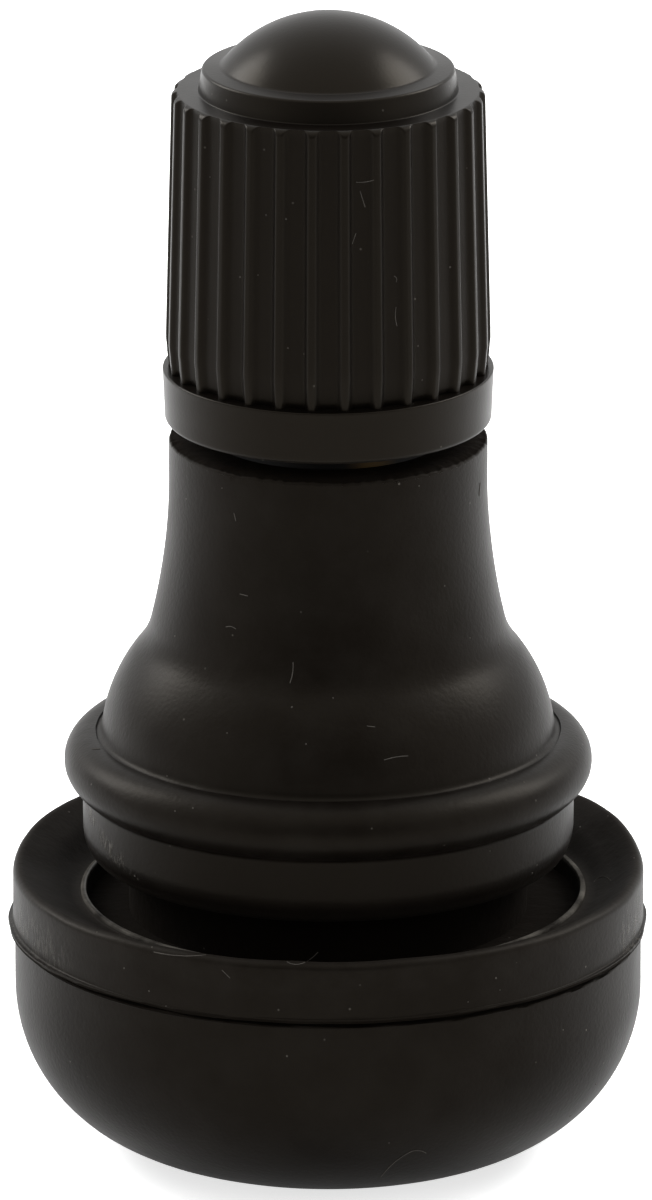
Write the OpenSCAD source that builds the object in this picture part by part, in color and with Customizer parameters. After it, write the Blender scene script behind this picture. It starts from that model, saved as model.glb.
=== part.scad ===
// Snap-in tubeless tyre valve, standing on its base.
// A rubber body is moulded on a brass stem. A spring-loaded core screws into the
// stem's mouth, and a fluted dust cap with a sealing disc screws onto the stem.
// Z runs up the valve's axis from the centre of the base's underside.

/* [Rubber base] */
// Diameter across the lip of the base
base_d = 19; // [18:0.1:22]
// Height from the underside to the mould parting line
parting_h = 6.72; // [6:0.02:8]
// Height of the lip above the parting line
lip_h = 1.78; // [1.3:0.02:2.6]
// Radius of the rounded edge of the lip
lip_round = 0.22; // [0.1:0.02:0.4]
// Draft of the wall between the lip and the parting line, on the radius
lip_draft = 0.04; // [0:0.01:0.1]
// How far the fin of parting flash stands out past the lip
flash_reach = 0.17; // [0.05:0.01:0.3]
// Thickness of the fin of parting flash
flash_t = 0.12; // [0.06:0.02:0.2]
// How much smaller the cup under the parting line is, on the radius
cup_step = 0.06; // [0:0.01:0.2]
// Radius of the rounded lower edge of the cup
cup_round = 4.8; // [3.6:0.1:5.4]
// How far the top of the base dishes down from its lip to the groove
dish_depth = 0.72; // [0.3:0.02:1]
// How far the air hole in the underside stands back from the stem's bore
air_hole_step = 0.34; // [0.2:0.02:0.6]

/* [Rim groove] */
// Diameter of the groove's floor, which the edge of the rim hole grips
groove_d = 12; // [11.4:0.1:13]
// Clear height of the groove's mouth
groove_gap = 1.2; // [1:0.05:2.5]
// Depth of the groove's bottom below its mouth
groove_drop = 0.3; // [0.1:0.05:0.6]
// Height of the thin ridge around the groove's mouth
ridge_h = 0.14; // [0.06:0.02:0.25]
// Thickness of the ridge around the groove's mouth
ridge_t = 0.2; // [0.1:0.02:0.3]

/* [Waist, bead and bell] */
// How far the waist overhangs the floor of the groove
waist_reach = 1.38; // [1.2:0.02:1.8]
// Height of the waist up to the bead
waist_h = 2.02; // [1.4:0.02:3]
// Radius of the waist's rounded lower edge
waist_round = 0.5; // [0.2:0.05:0.8]
// How far the retaining bead stands out past the waist
bead_reach = 0.55; // [0.35:0.01:0.75]
// Radius of the bead's round section
bead_round = 0.9; // [0.8:0.02:1.2]
// How far the foot of the bell lies inside the waist
bell_inset = 0.56; // [0.4:0.02:0.8]
// Lean of the bell at its foot, from the vertical
bell_foot_lean = 4.8; // [2:0.2:8]
// Steepest lean of the bell, from the vertical
bell_lean = 39.7; // [34:0.1:46]
// Lean of the neck where it runs into the bell
neck_lean = 13.7; // [11:0.1:16]
// Radius of the hollow between the neck and the bell
hollow_round = 2; // [1.5:0.05:2.4]
// Radius of the neck's long flare
flare_round = 19.4; // [16:0.1:23]
// Length of the straight neck above the flare
neck_h = 1.16; // [0.8:0.02:4]
// Rubber over the stem's shank at the neck
neck_wall = 1.21; // [1:0.01:1.4]
// Radius of the edge at the top of the neck
neck_round = 0.15; // [0.05:0.01:0.3]

/* [Brass stem] */
// Outside diameter of the stem's cap thread
thread_d = 7.74; // [7.5:0.02:8.2]
// Pitch of the cap thread
thread_pitch = 0.794; // [0.7:0.001:1]
// Length of stem that stands above the rubber
stem_reach = 9.2; // [8.8:0.1:12]
// How far the shank is reduced under the thread, on the radius
shank_step = 0.32; // [0.2:0.02:0.5]
// Plain length between the rubber and the thread
thread_start = 0.3; // [0.1:0.05:0.6]
// Chamfer at the stem's mouth
mouth_chamfer = 0.45; // [0.2:0.05:0.7]
// How far the mouth's counterbore stands back from the core's thread
mouth_step = 0.23; // [0.1:0.01:0.4]
// Depth of the mouth's counterbore
mouth_depth = 0.9; // [0.5:0.05:1.2]
// Diameter of the bore that the core screws into
core_thread_d = 5.24; // [5:0.02:5.4]
// Diameter of the foot that locks the stem in the base
foot_d = 10.4; // [9.6:0.1:11.4]
// Thickness of the foot
foot_t = 1.2; // [0.8:0.1:1.6]
// Height of the cone from the foot to the shank
foot_cone = 1.4; // [0.8:0.1:2]
// Rubber under the foot
foot_cover = 1.8; // [1.4:0.1:2.4]
// Number of keying grooves round the shank
key_count = 3; // [2:1:4]
// Width of a keying groove
key_w = 0.8; // [0.5:0.05:1]
// Depth of a keying groove
key_depth = 0.3; // [0.2:0.02:0.4]
// Spacing of the keying grooves
key_pitch = 1.9; // [1.5:0.1:2.1]

/* [Valve core] */
// Diameter of the pin
pin_d = 1.2; // [1:0.02:1.4]
// Depth of the pin's head below the stem's mouth
pin_sink = 0.35; // [0.2:0.05:0.6]
// How far the pin's rolled head stands out past the pin
pin_head_reach = 0.25; // [0.1:0.01:0.35]
// Height of the pin's rolled head
pin_head_h = 0.5; // [0.3:0.05:0.7]
// Travel of the pin when it is pressed
pin_travel = 1.5; // [1:0.05:2]
// Air space round the pin in the plug
pin_room = 0.45; // [0.4:0.01:0.6]
// Depth of the plug's ears below the stem's mouth
plug_sink = 1.5; // [1.3:0.05:1.8]
// Height of the plug's two driving ears
ear_h = 1.5; // [1:0.05:2]
// Thickness of the ears
ear_t = 1.9; // [1.5:0.05:2.2]
// How far the ears lie inside the plug's thread
ear_inset = 0.45; // [0.2:0.05:0.7]
// Length of the plug's thread
plug_h = 3.6; // [3:0.1:4.5]
// Depth of the swivel socket in the plug's underside
socket_depth = 1; // [0.6:0.05:1.4]
// Thickness of the barrel's flange under the plug
flange_t = 0.3; // [0.2:0.02:0.5]
// How far the barrel's flange lies inside the plug's thread
flange_inset = 0.06; // [0.04:0.02:0.3]
// Height of the tapered barrel gasket
gasket_h = 1.8; // [1.4:0.05:2.4]
// Wall of the barrel
barrel_wall = 0.36; // [0.28:0.02:0.45]
// Air space round the pin in the barrel's floor
floor_room = 0.28; // [0.2:0.01:0.3]
// Thickness of the barrel's floor
barrel_floor = 0.5; // [0.3:0.05:0.8]
// Height of the sealing lip under the barrel
seat_lip_h = 0.2; // [0.1:0.02:0.3]
// Width of the sealing lip
seat_lip_w = 0.3; // [0.2:0.02:0.4]
// Diameter of the spring's wire
spring_wire = 0.3; // [0.2:0.02:0.34]
// Number of turns of the spring
spring_turns = 8; // [6:1:10]
// Length left open between the spring's turns when the pin is fully pressed
spring_spare = 4; // [3:0.1:5]
// Depth of the spring cup below the barrel's upper end
spring_cup_sink = 0.5; // [0.2:0.05:0.8]
// Thickness of the spring cup's flange
spring_cup_t = 0.3; // [0.2:0.02:0.5]
// Wall of the spring cup's hub inside the spring
hub_wall = 0.13; // [0.1:0.01:0.2]
// Length of the spring cup's hub inside the spring
spring_hub_h = 0.6; // [0.3:0.05:1]
// Thickness of the plunger's rubber seal
plunger_seal_t = 0.9; // [0.6:0.05:1.2]
// How far the plunger's seal stands out of its cup
plunger_seal_stand = 0.3; // [0.2:0.02:0.4]
// Wall of the plunger's cup
plunger_cup_wall = 0.2; // [0.14:0.02:0.3]
// Thickness of the plunger cup's floor
plunger_cup_floor = 0.35; // [0.2:0.05:0.5]
// Height of the riveted end of the pin
rivet_h = 0.5; // [0.3:0.05:0.8]

/* [Dust cap] */
// Gap between the cap and the top of the rubber
cap_gap = 0.53; // [0.3:0.01:1]
// Turns that the cap makes on its thread before it comes off
cap_turns = 6; // [4:1:8]
// Wall of the cap at the top of its grip
cap_wall = 0.66; // [0.56:0.01:1]
// How much wider the grip is at its lower end, on the radius
grip_draft = 0.18; // [0.1:0.01:0.3]
// How far the grip necks in above the band
grip_neck = 0.07; // [0.02:0.01:0.12]
// Height of the neck above the band
grip_neck_h = 0.9; // [0.5:0.05:1.4]
// Number of flutes round the grip
flute_count = 30; // [20:1:36]
// Depth of a flute
flute_depth = 0.17; // [0.08:0.01:0.22]
// Width of the ridge left between two flutes
flute_ridge = 0.34; // [0.26:0.01:0.5]
// Slope of a flute's sides: how much each widens per unit of depth
flute_flank = 0.5; // [0.2:0.05:0.8]
// Height of a flute's foot above the band
flute_foot = 0.1; // [0.06:0.02:0.4]
// Height of the plain band at the mouth
band_h = 1.61; // [1.2:0.01:2.4]
// How far the band stands out past the grip
band_reach = 0.1; // [0.05:0.01:0.3]
// Draft of the band, on the radius
band_draft = 0.06; // [0:0.01:0.12]
// Radius of the band's lower edge
band_round = 0.16; // [0.05:0.01:0.25]
// How far the plain mouth is wider than the threaded bore, on the radius
mouth_relief = 0.14; // [0.05:0.01:0.25]
// Thickness of the cap's roof over the sealing disc
roof_t = 0.64; // [0.5:0.02:1]
// Radius of the shoulder at the top of the grip
shoulder_round = 0.22; // [0.15:0.01:0.45]
// How far the crown lies inside the grip
crown_inset = 0.9; // [0.7:0.02:1.1]
// Height of the crown's step
crown_h = 0.7; // [0.4:0.02:1]
// Radius of the crown's edge
crown_round = 0.12; // [0.05:0.01:0.2]
// How far the dome lies inside the crown
dome_inset = 0.56; // [0.4:0.02:0.8]
// Fall of the crown's top from the dome to its edge
crown_fall = 0.06; // [0.02:0.01:0.25]
// Height of the dome above the crown
dome_rise = 1.55; // [1.2:0.05:2]
// Wall of the hollow dome
dome_wall = 0.9; // [0.8:0.02:1.2]
// Thickness of the sealing disc
cap_seal_t = 0.8; // [0.6:0.02:1.2]

/* [Fits] */
// Radial clearance of the cap's bore over the stem's thread
cap_clear = 0.13; // [0.08:0.01:0.2]
// Radial clearance of the core's barrel in the stem's chamber
chamber_clear = 0.3; // [0.25:0.01:0.4]
// Clearance of parts that turn or slide on each other
running_clear = 0.05; // [0.03:0.01:0.08]
// Clearance of parts that are pressed or screwed together
seat_clear = 0.02; // [0.01:0.005:0.03]

/* [Hidden] */
$fn = 96;
// Overlap that keeps cutting tools clear of the faces that they cut through
past = 1;
// Points on each round stretch of an outline
arc_steps = 14;

rubber_black = "#1c1a18";
cap_black = "#26231f";
brass = "#b5924c";
seal_black = "#141414";
gasket_red = "#8c2f25";
spring_steel = "#a7a9ac";

// Radii of the rubber body, from the stem outwards
thread_r = thread_d / 2;
shank_r = thread_r - shank_step;
neck_r = shank_r + neck_wall;
groove_r = groove_d / 2;
waist_r = groove_r + waist_reach;
bead_centre_r = waist_r + bead_reach - bead_round;
bell_foot_r = waist_r - bell_inset;
ridge_r = waist_r - ridge_t / 2;
base_r = base_d / 2;
cup_r = base_r - cup_step;
foot_r = foot_d / 2;
dish_w = base_r - lip_round - ridge_r - ridge_t;
dish_slope = atan(dish_depth / dish_w);

// The bell's convex radius closes the outline between its foot and the neck
hollow_gain = hollow_round * (cos(neck_lean) - cos(bell_lean));
flare_gain = flare_round * (1 - cos(neck_lean));
bell_gain = bell_foot_r - neck_r - hollow_gain - flare_gain;
bell_round = bell_gain / (cos(bell_foot_lean) - cos(bell_lean));

// Heights of the rubber body, stacked from the underside
lip_z = parting_h + lip_h;
ridge_z = lip_z - dish_depth;
waist_z = ridge_z + groove_gap;
bead_low_z = waist_z + waist_h;
bead_low_run = bead_round - bead_reach;
bead_z = bead_low_z + sqrt(pow(bead_round, 2) - pow(bead_low_run, 2));
bell_foot_run = bell_foot_r - bead_centre_r;
bell_foot_z = bead_z + sqrt(pow(bead_round, 2) - pow(bell_foot_run, 2));
bell_top_z = bell_foot_z + bell_round * (sin(bell_lean) - sin(bell_foot_lean));
hollow_top_z = bell_top_z + hollow_round * (sin(bell_lean) - sin(neck_lean));
flare_top_z = hollow_top_z + flare_round * sin(neck_lean);
neck_z = flare_top_z + neck_h;

// Heights of the stem
mouth_z = neck_z + stem_reach;
foot_top_z = foot_cover + foot_t;
shank_z = foot_top_z + foot_cone;
key_z = shank_z + key_pitch;

// Radii of the core, from the pin outwards
pin_r = pin_d / 2;
pin_head_r = pin_r + pin_head_reach;
plug_bore_r = pin_r + pin_room;
spring_hub_r = pin_r + seat_clear + hub_wall;
spring_r = spring_hub_r + running_clear + spring_wire / 2;
spring_cup_r = spring_r + spring_wire / 2 + running_clear;
barrel_bore_r = spring_cup_r + 2 * running_clear;
barrel_r = barrel_bore_r + barrel_wall;
chamber_r = barrel_r + chamber_clear;
core_thread_r = core_thread_d / 2;
mouth_r = core_thread_r + mouth_step;
plug_r = core_thread_r - seat_clear;
socket_r = barrel_r + running_clear;
flange_r = plug_r - flange_inset;
floor_hole_r = pin_r + floor_room;
plunger_cup_r = barrel_r;
air_hole_r = chamber_r + air_hole_step;

// Length of the spring at rest: its closed turns, the pin's travel and the spare
spring_h = (spring_turns + 1) * spring_wire + pin_travel + spring_spare;

// Heights of the core, measured down from the stem's mouth
pin_top_z = mouth_z - pin_sink;
ear_top_z = mouth_z - plug_sink;
plug_top_z = ear_top_z - ear_h;
plug_low_z = plug_top_z - plug_h;
barrel_top_z = plug_low_z + socket_depth - running_clear;
flange_z = plug_low_z - running_clear;
gasket_z = flange_z - flange_t - seat_clear;
seat_low_z = gasket_z - gasket_h;
spring_cup_z = barrel_top_z - spring_cup_sink;
spring_top_z = spring_cup_z - spring_cup_t;
floor_z = spring_top_z - spring_h;
barrel_low_z = floor_z - barrel_floor;
lip_low_z = barrel_low_z - seat_lip_h;
seal_top_z = lip_low_z - seat_clear;
seal_low_z = seal_top_z - plunger_seal_t;
cup_top_z = seal_top_z - plunger_seal_stand;
cup_floor_z = seal_low_z - seat_clear - plunger_cup_floor;
pin_low_z = cup_floor_z - rivet_h;

// Radii and heights of the cap
cap_bore_r = thread_r + cap_clear;
cap_mouth_r = cap_bore_r + mouth_relief;
grip_top_r = cap_bore_r + cap_wall;
grip_low_r = grip_top_r + grip_draft;
band_r = grip_low_r + band_reach;
crown_r = grip_top_r - crown_inset;
dome_r = crown_r - dome_inset;
cap_low_z = neck_z + cap_gap;
band_z = cap_low_z + band_h;
grip_low_z = band_z + grip_neck_h;
seal_z = mouth_z + seat_clear;
ceiling_z = seal_z + cap_seal_t + seat_clear;
shoulder_z = ceiling_z + roof_t;
crown_z = shoulder_z + crown_h;
dome_z = crown_z + crown_fall;
cap_thread_z = mouth_z - cap_turns * thread_pitch;
dome_sphere_r = (pow(dome_r, 2) + pow(dome_rise, 2)) / (2 * dome_rise);
dome_centre_z = dome_z + dome_rise - dome_sphere_r;

// Points along an arc about c, from angle a0 to angle a1
function arc(c, r, a0, a1) =
    [for (i = [0 : arc_steps]) let (a = a0 + (a1 - a0) * i / arc_steps) c + r * [cos(a), sin(a)]];

// Outline of the base, from the underside up to the ridge at the groove's mouth
function base_outline() = concat(
    [[0, 0]],
    arc([cup_r - cup_round, cup_round], cup_round, -90, 0),
    [[cup_r, parting_h - flash_t / 2],
     [base_r + flash_reach, parting_h - flash_t / 4],
     [base_r + flash_reach, parting_h + flash_t / 4],
     [base_r - lip_draft, parting_h + flash_t / 2]],
    arc([base_r - lip_round, lip_z - lip_round], lip_round, 0, 90 + dish_slope),
    [[ridge_r + ridge_t, ridge_z - ridge_h],
     [ridge_r + ridge_t * 2 / 3, ridge_z],
     [ridge_r + ridge_t / 3, ridge_z]]);

// Outline of the groove, the waist and the bead
function groove_outline() = concat(
    [[ridge_r, ridge_z - groove_drop],
     [groove_r, ridge_z - groove_drop],
     [groove_r, waist_z]],
    arc([waist_r - waist_round, waist_z + waist_round], waist_round, -90, 0),
    arc([bead_centre_r, bead_z], bead_round, -acos(bead_low_run / bead_round),
        acos(bell_foot_run / bead_round)));

// Outline of the bell and the neck: one convex arc, then two hollow ones
function bell_outline() =
    let (bell_c = [bell_foot_r, bell_foot_z] - bell_round * [cos(bell_foot_lean), sin(bell_foot_lean)],
         bell_top = bell_c + bell_round * [cos(bell_lean), sin(bell_lean)],
         hollow_c = bell_top + hollow_round * [cos(bell_lean), sin(bell_lean)],
         hollow_top = hollow_c - hollow_round * [cos(neck_lean), sin(neck_lean)],
         flare_c = hollow_top + flare_round * [cos(neck_lean), sin(neck_lean)])
    concat(
        arc(bell_c, bell_round, bell_foot_lean, bell_lean),
        arc(hollow_c, -hollow_round, bell_lean, neck_lean),
        arc(flare_c, -flare_round, neck_lean, 0),
        arc([neck_r - neck_round, neck_z - neck_round], neck_round, 0, 90),
        [[0, neck_z]]);

// Outside of the brass stem up to the cap thread, with the keying grooves in its shank
module stem_outside(grow = 0) {
    difference() {
        rotate_extrude() polygon([
            [0, foot_cover - grow],
            [foot_r + grow, foot_cover - grow],
            [foot_r + grow, foot_top_z + grow],
            [shank_r + grow, shank_z + grow],
            [shank_r + grow, neck_z + thread_start],
            [0, neck_z + thread_start]]);
        for (i = [0 : key_count - 1])
            translate([0, 0, key_z + i * key_pitch]) key_ring(grow);
    }
}

// Ring that cuts one keying groove
module key_ring(grow) {
    difference() {
        translate([0, 0, grow]) cylinder(r = shank_r + past, h = key_w - 2 * grow);
        translate([0, 0, -past]) cylinder(r = shank_r - key_depth + grow, h = key_w + 2 * past);
    }
}

module rubber_body() color(rubber_black) {
    difference() {
        rotate_extrude() polygon(concat(base_outline(), groove_outline(), bell_outline()));
        stem_outside(seat_clear);
        translate([0, 0, -past]) cylinder(r = air_hole_r, h = foot_cover + past);
    }
}

module brass_stem() color(brass) {
    thread_z = neck_z + thread_start;
    difference() {
        union() {
            stem_outside();
            rotate_extrude() polygon([
                [0, thread_z],
                [thread_r, thread_z],
                [thread_r, mouth_z - mouth_chamfer],
                [thread_r - mouth_chamfer, mouth_z],
                [0, mouth_z]]);
        }
        translate([0, 0, foot_cover - past]) cylinder(r = chamber_r, h = mouth_z);
        rotate_extrude() polygon([
            [0, seat_low_z],
            [chamber_r, seat_low_z],
            [core_thread_r, gasket_z],
            [core_thread_r, mouth_z - mouth_depth],
            [mouth_r, mouth_z - mouth_depth],
            [mouth_r, mouth_z + past],
            [0, mouth_z + past]]);
    }
}

// Threaded plug with two driving ears above it and a swivel socket below
module core_plug() color(brass) {
    difference() {
        union() {
            translate([0, 0, plug_low_z]) cylinder(r = plug_r, h = plug_h);
            intersection() {
                translate([0, 0, plug_top_z]) cylinder(r = plug_r - ear_inset, h = ear_h);
                translate([-plug_r, -ear_t / 2, plug_top_z - past])
                    cube([2 * plug_r, ear_t, ear_h + 2 * past]);
            }
        }
        translate([0, 0, plug_low_z - past]) cylinder(r = plug_bore_r, h = plug_h + ear_h + 2 * past);
        translate([0, 0, plug_low_z - past]) cylinder(r = socket_r, h = socket_depth + past);
    }
}

// Tube that swivels under the plug: a flange over the gasket, and a sealing lip at its lower end
module core_barrel() color(brass) {
    difference() {
        union() {
            translate([0, 0, barrel_low_z]) cylinder(r = barrel_r, h = barrel_top_z - barrel_low_z);
            translate([0, 0, flange_z - flange_t]) cylinder(r = flange_r, h = flange_t);
            translate([0, 0, lip_low_z]) cylinder(r = barrel_bore_r, h = seat_lip_h);
        }
        translate([0, 0, floor_z]) cylinder(r = barrel_bore_r, h = barrel_top_z);
        translate([0, 0, lip_low_z - past]) cylinder(r = floor_hole_r, h = barrel_floor + 2 * past);
        translate([0, 0, lip_low_z - past]) cylinder(r = barrel_bore_r - seat_lip_w, h = seat_lip_h + past);
    }
}

// Tapered sealing ring between the barrel and the stem's conical seat
module barrel_gasket() color(gasket_red) {
    difference() {
        rotate_extrude() polygon([
            [0, seat_low_z],
            [chamber_r - seat_clear, seat_low_z],
            [core_thread_r - seat_clear, gasket_z],
            [0, gasket_z]]);
        translate([0, 0, seat_low_z - past]) cylinder(r = barrel_r + seat_clear, h = gasket_h + 2 * past);
    }
}

// Round wire swept along a helix: rings of points, quads between them and a cap at each end
module coil(mean_r, wire_r, low_z, high_z, turns) {
    sides = 6;
    rings = 14 * turns;
    points = [for (i = [0 : rings], j = [0 : sides - 1])
        let (a = 360 * turns * i / rings,
             b = 360 * j / sides,
             r = mean_r + wire_r * cos(b))
        [r * cos(a), r * sin(a), low_z + (high_z - low_z) * i / rings + wire_r * sin(b)]];
    walls = [for (i = [0 : rings - 1], j = [0 : sides - 1])
        let (k = (j + 1) % sides)
        [i * sides + j, i * sides + k, (i + 1) * sides + k, (i + 1) * sides + j]];
    low_cap = [[for (j = [sides - 1 : -1 : 0]) j]];
    high_cap = [[for (j = [0 : sides - 1]) rings * sides + j]];
    polyhedron(points, concat(walls, low_cap, high_cap));
}

module core_spring() color(spring_steel)
    coil(spring_r, spring_wire / 2, floor_z + spring_wire / 2 + seat_clear,
         spring_top_z - spring_wire / 2 - seat_clear, spring_turns);

// Flanged collar, staked on the pin, that the spring pushes up
module spring_cup() color(brass) {
    difference() {
        union() {
            translate([0, 0, spring_top_z]) cylinder(r = spring_cup_r, h = spring_cup_t);
            translate([0, 0, spring_top_z - spring_hub_h]) cylinder(r = spring_hub_r, h = spring_hub_h);
        }
        translate([0, 0, spring_top_z - spring_hub_h - past])
            cylinder(r = pin_r + seat_clear, h = spring_hub_h + spring_cup_t + 2 * past);
    }
}

module plunger_pin() color(brass) {
    translate([0, 0, pin_low_z]) cylinder(r = pin_r, h = pin_top_z - pin_low_z);
    translate([0, 0, pin_top_z - pin_head_h]) cylinder(r = pin_head_r, h = pin_head_h);
    translate([0, 0, pin_low_z]) cylinder(r = pin_head_r, h = rivet_h - seat_clear);
}

// Cup that carries the plunger's seal
module plunger_cup() color(brass) {
    difference() {
        translate([0, 0, cup_floor_z])
            cylinder(r = plunger_cup_r, h = cup_top_z - cup_floor_z);
        translate([0, 0, seal_low_z - seat_clear])
            cylinder(r = plunger_cup_r - plunger_cup_wall, h = plunger_seal_t + past);
        translate([0, 0, cup_floor_z - past]) cylinder(r = pin_r + seat_clear, h = plunger_cup_floor + 2 * past);
    }
}

module plunger_seal() color(seal_black) {
    difference() {
        translate([0, 0, seal_low_z])
            cylinder(r = plunger_cup_r - plunger_cup_wall - seat_clear, h = plunger_seal_t);
        translate([0, 0, seal_low_z - past]) cylinder(r = pin_r + seat_clear, h = plunger_seal_t + 2 * past);
    }
}

// Outside of the cap before the flutes are cut
module cap_outside() {
    rotate_extrude() polygon(concat(
        [[0, cap_low_z]],
        arc([band_r - band_draft - band_round, cap_low_z + band_round], band_round, -90, 0),
        [[band_r, band_z],
         [grip_low_r - grip_neck, band_z],
         [grip_low_r, grip_low_z]],
        arc([grip_top_r - shoulder_round, shoulder_z - shoulder_round], shoulder_round, 0, 90),
        [[crown_r, shoulder_z]],
        arc([crown_r - crown_round, crown_z - crown_round], crown_round, 0, 90),
        arc([0, dome_centre_z], dome_sphere_r, acos(dome_r / dome_sphere_r), 90)));
}

// One flute: a shallow channel that leans in with the grip's draft
module flute() {
    grip_h = shoulder_z - shoulder_round - grip_low_z;
    lean = atan(grip_draft / grip_h);
    mouth_w = 2 * PI * grip_top_r / flute_count - flute_ridge;
    floor_w = mouth_w - 2 * flute_depth * flute_flank;
    start_z = band_z + flute_foot;
    start_r = grip_low_r + (grip_low_z - start_z) * tan(lean) - flute_depth;
    reach = flute_depth + past;
    reach_w = floor_w + 2 * reach * flute_flank;
    translate([start_r, 0, start_z]) rotate([0, -lean, 0])
        linear_extrude(height = shoulder_z - start_z + past) polygon([
            [0, -floor_w / 2],
            [reach, -reach_w / 2],
            [reach, reach_w / 2],
            [0, floor_w / 2]]);
}

module dust_cap() color(cap_black) {
    difference() {
        cap_outside();
        for (i = [0 : flute_count - 1]) rotate([0, 0, 360 * i / flute_count - 90]) flute();
        translate([0, 0, cap_low_z - past]) cylinder(r = cap_bore_r, h = ceiling_z - cap_low_z + past);
        translate([0, 0, cap_low_z - past]) cylinder(r = cap_mouth_r, h = cap_thread_z - cap_low_z + past);
        intersection() {
            translate([0, 0, dome_centre_z]) sphere(r = dome_sphere_r - dome_wall);
            translate([0, 0, ceiling_z - past]) cylinder(r = dome_sphere_r, h = dome_sphere_r);
        }
    }
}

module cap_seal() color(seal_black)
    translate([0, 0, seal_z]) cylinder(r = cap_bore_r - 2 * running_clear, h = cap_seal_t);

rubber_body();
brass_stem();
core_plug();
core_barrel();
barrel_gasket();
core_spring();
spring_cup();
plunger_pin();
plunger_cup();
plunger_seal();
dust_cap();
cap_seal();
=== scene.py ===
"""Looks of a snap-in tyre valve: moulded rubber, fluted dust cap, turned stem and sprung core."""

import math
import random

import bpy
from bpy.props import FloatProperty, FloatVectorProperty, IntProperty, PointerProperty
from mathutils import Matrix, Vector, noise
from mathutils.bvhtree import BVHTree


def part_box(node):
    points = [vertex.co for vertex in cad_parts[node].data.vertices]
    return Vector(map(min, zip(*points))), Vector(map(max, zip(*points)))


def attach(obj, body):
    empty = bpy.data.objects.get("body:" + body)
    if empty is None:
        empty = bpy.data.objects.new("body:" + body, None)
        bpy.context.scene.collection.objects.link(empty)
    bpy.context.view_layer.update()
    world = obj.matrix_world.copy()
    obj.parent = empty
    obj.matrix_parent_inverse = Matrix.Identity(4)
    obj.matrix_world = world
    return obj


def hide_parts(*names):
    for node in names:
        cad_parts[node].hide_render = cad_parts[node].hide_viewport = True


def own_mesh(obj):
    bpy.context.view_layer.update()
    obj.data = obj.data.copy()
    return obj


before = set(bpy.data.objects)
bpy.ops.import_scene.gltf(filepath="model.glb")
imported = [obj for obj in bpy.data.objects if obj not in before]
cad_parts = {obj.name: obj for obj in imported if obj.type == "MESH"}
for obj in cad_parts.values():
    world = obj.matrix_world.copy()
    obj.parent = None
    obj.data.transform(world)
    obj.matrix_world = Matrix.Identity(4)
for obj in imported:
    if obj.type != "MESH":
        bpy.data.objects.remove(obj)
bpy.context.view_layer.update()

bl_info = {
    "name": "Tyre Valve",
    "version": (1, 0, 0),
    "blender": (4, 5, 0),
    "location": "3D View > Sidebar > Tyre Valve",
    "description": "Dresses a snap-in tyre valve and sets up its studio stage",
    "category": "Object",
}

MM = 0.001
TURN = 2 * math.pi
# The front of the object faces -Y
FRONT = -math.pi / 2
# A radius below this is on the axis
ON_AXIS = 1e-6
# The photograph's size in pixels and the camera's sensor in millimetres
IMAGE_W, IMAGE_H = 652, 1200
SENSOR = 36.0
WHITE = (1, 1, 1, 1)
# An edge that turns by more than this stays crisp
SHARP = math.radians(50)
# Steps round the axis of the turned meshes, and round a grain or a fibre
RUBBER_STEPS, STEM_STEPS, PLUG_STEPS, TABLE_STEPS = 320, 192, 128, 96
SPECK_STEPS = 6

RUBBER_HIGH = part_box("rubber_body")[1]
STEM_LOW, STEM_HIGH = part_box("brass_stem")
CAP_LOW, CAP_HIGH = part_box("dust_cap")
SEAL_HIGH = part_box("cap_seal")[1]
GASKET_LOW, GASKET_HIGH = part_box("barrel_gasket")
PLUG_LOW, PLUG_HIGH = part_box("core_plug")
SPRING_LOW, SPRING_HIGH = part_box("core_spring")


def linear(hex_colour):
    """Linear red, green and blue of an sRGB hex colour."""
    channels = [int(hex_colour[i:i + 2], 16) / 255 for i in (1, 3, 5)]
    return [c / 12.92 if c <= 0.04045 else ((c + 0.055) / 1.055) ** 2.4 for c in channels]


def length(name, mm, description):
    """A length that a user can change, given in millimetres."""
    return FloatProperty(name=name, description=description, default=mm * MM, unit="LENGTH", precision=5)


def lean(name, degrees, description):
    """An angle that a user can change, given in degrees."""
    return FloatProperty(name=name, description=description, default=math.radians(degrees), subtype="ANGLE")


def colour(name, hex_colour, description):
    """A colour that a user can change, given as sRGB hex."""
    return FloatVectorProperty(name=name, description=description, default=linear(hex_colour),
                               size=3, subtype="COLOR", min=0, max=1)


def number(name, count, description, least=1):
    """A count that a user can change."""
    return IntProperty(name=name, description=description, default=count, min=least)


def lamp_power(name, watts, description):
    """A lamp's power that a user can change, in watts."""
    return FloatProperty(name=name, description=description, default=watts, unit="POWER")


def brightness(name, share, description):
    """A brightness that a user can change, where 1 is white."""
    return FloatProperty(name=name, description=description, default=share, min=0)


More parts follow.
